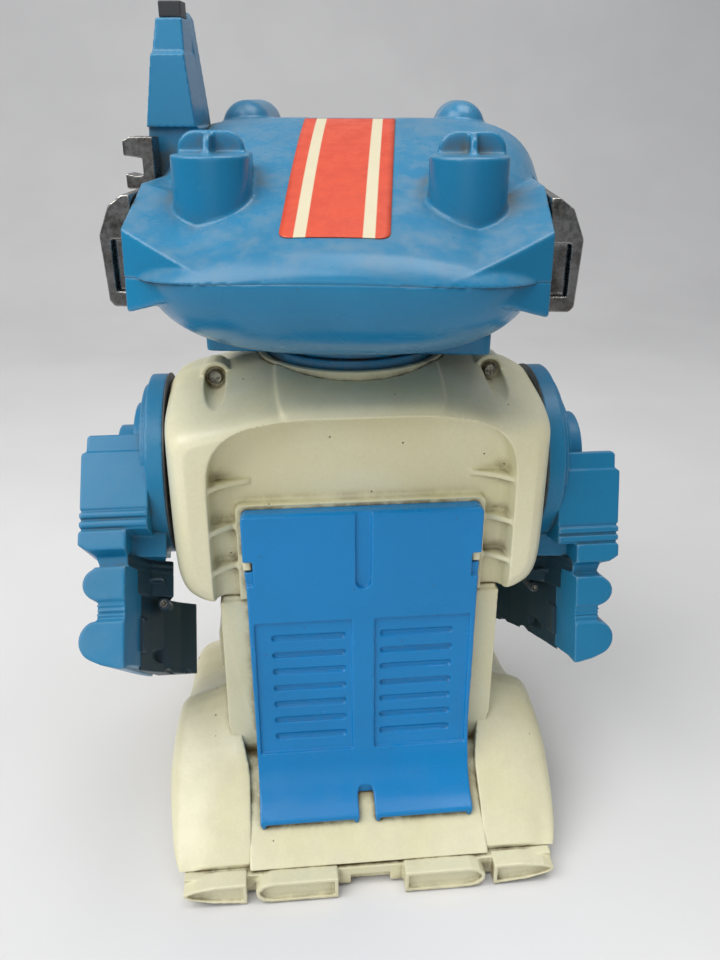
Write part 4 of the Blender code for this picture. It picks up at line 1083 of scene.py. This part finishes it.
def sweep():
    """A floor that bends up into a wall behind the robot."""
    turns = [math.pi / 2 * i / 16 for i in range(1, 17)]
    profile = [(4.0, 0.0), (-SWEEP_BEND, 0.0)]
    profile += [(-SWEEP_BEND * (1 + math.sin(a)), SWEEP_BEND * (1 - math.cos(a))) for a in turns]
    profile.append((-2 * SWEEP_BEND, 4.0))
    bm = bmesh.new()
    lines = [[bm.verts.new((x, y, z)) for y, z in profile] for x in (-4.0, 4.0)]
    for i in range(len(profile) - 1):
        bm.faces.new((lines[0][i], lines[0][i + 1], lines[1][i + 1], lines[1][i])).smooth = True
    mesh = bpy.data.meshes.new("floor")
    bm.to_mesh(mesh)
    bm.free()
    obj = bpy.data.objects.new("floor", mesh)
    bpy.context.scene.collection.objects.link(obj)
    look = Look("paper_sweep")
    broad = look.span(look.noise(6.0, 2.0), 0.3, 0.7)
    look.set("Base Color", look.mix(broad, (0.70, 0.70, 0.71), (0.67, 0.67, 0.68)))
    look.set("Roughness", look.span(look.noise(30.0, 2.0), 0.3, 0.7, 0.7, 0.85))
    mesh.materials.append(look.material)


def lighting():
    world = bpy.data.worlds.new("soft_room")
    world.use_nodes = True
    world.node_tree.nodes["Background"].inputs["Color"].default_value = (0.93, 0.96, 1.0, 1.0)
    world.node_tree.nodes["Background"].inputs["Strength"].default_value = 0.31
    bpy.context.scene.world = world
    for name, place, size, power in LIGHTS:
        light = bpy.data.lights.new(name, "AREA")
        light.size = size
        light.energy = power
        light.color = LIGHT_COLOUR
        lamp = bpy.data.objects.new(name, light)
        lamp.location = place
        lamp.rotation_euler = (AIM - Vector(place)).to_track_quat("-Z", "Y").to_euler()
        bpy.context.scene.collection.objects.link(lamp)


CAMERA_PLACE = (0.0350519, 0.4052486, 0.3588032)
# The camera's turn, its tilt down and its roll, in degrees
CAMERA_ANGLES = (5.536, 24.3356, -0.131)
# In millimetres
SENSOR_SIZE = 36
FOCAL_LENGTH = 31.867125


def camera():
    yaw, pitch, roll = (math.radians(angle) for angle in CAMERA_ANGLES)
    ahead = Vector((-math.sin(yaw) * math.cos(pitch), -math.cos(yaw) * math.cos(pitch), -math.sin(pitch)))
    level = Vector((-math.cos(yaw), math.sin(yaw), 0))
    down = ahead.cross(level)
    across = level * math.cos(roll) + down * math.sin(roll)
    below = down * math.cos(roll) - level * math.sin(roll)
    data = bpy.data.cameras.new("main_view")
    data.lens = FOCAL_LENGTH
    data.sensor_width = SENSOR_SIZE
    obj = bpy.data.objects.new("main_view", data)
    rows = [(across[i], -below[i], -ahead[i], CAMERA_PLACE[i]) for i in range(3)]
    obj.matrix_world = Matrix((*rows, (0, 0, 0, 1)))
    bpy.context.scene.collection.objects.link(obj)
    bpy.context.scene.camera = obj


head()
torso()
battery_cover()
base()
arms()
finish_nodes()
sweep()
lighting()
camera()
bpy.context.scene.view_settings.view_transform = "Standard"
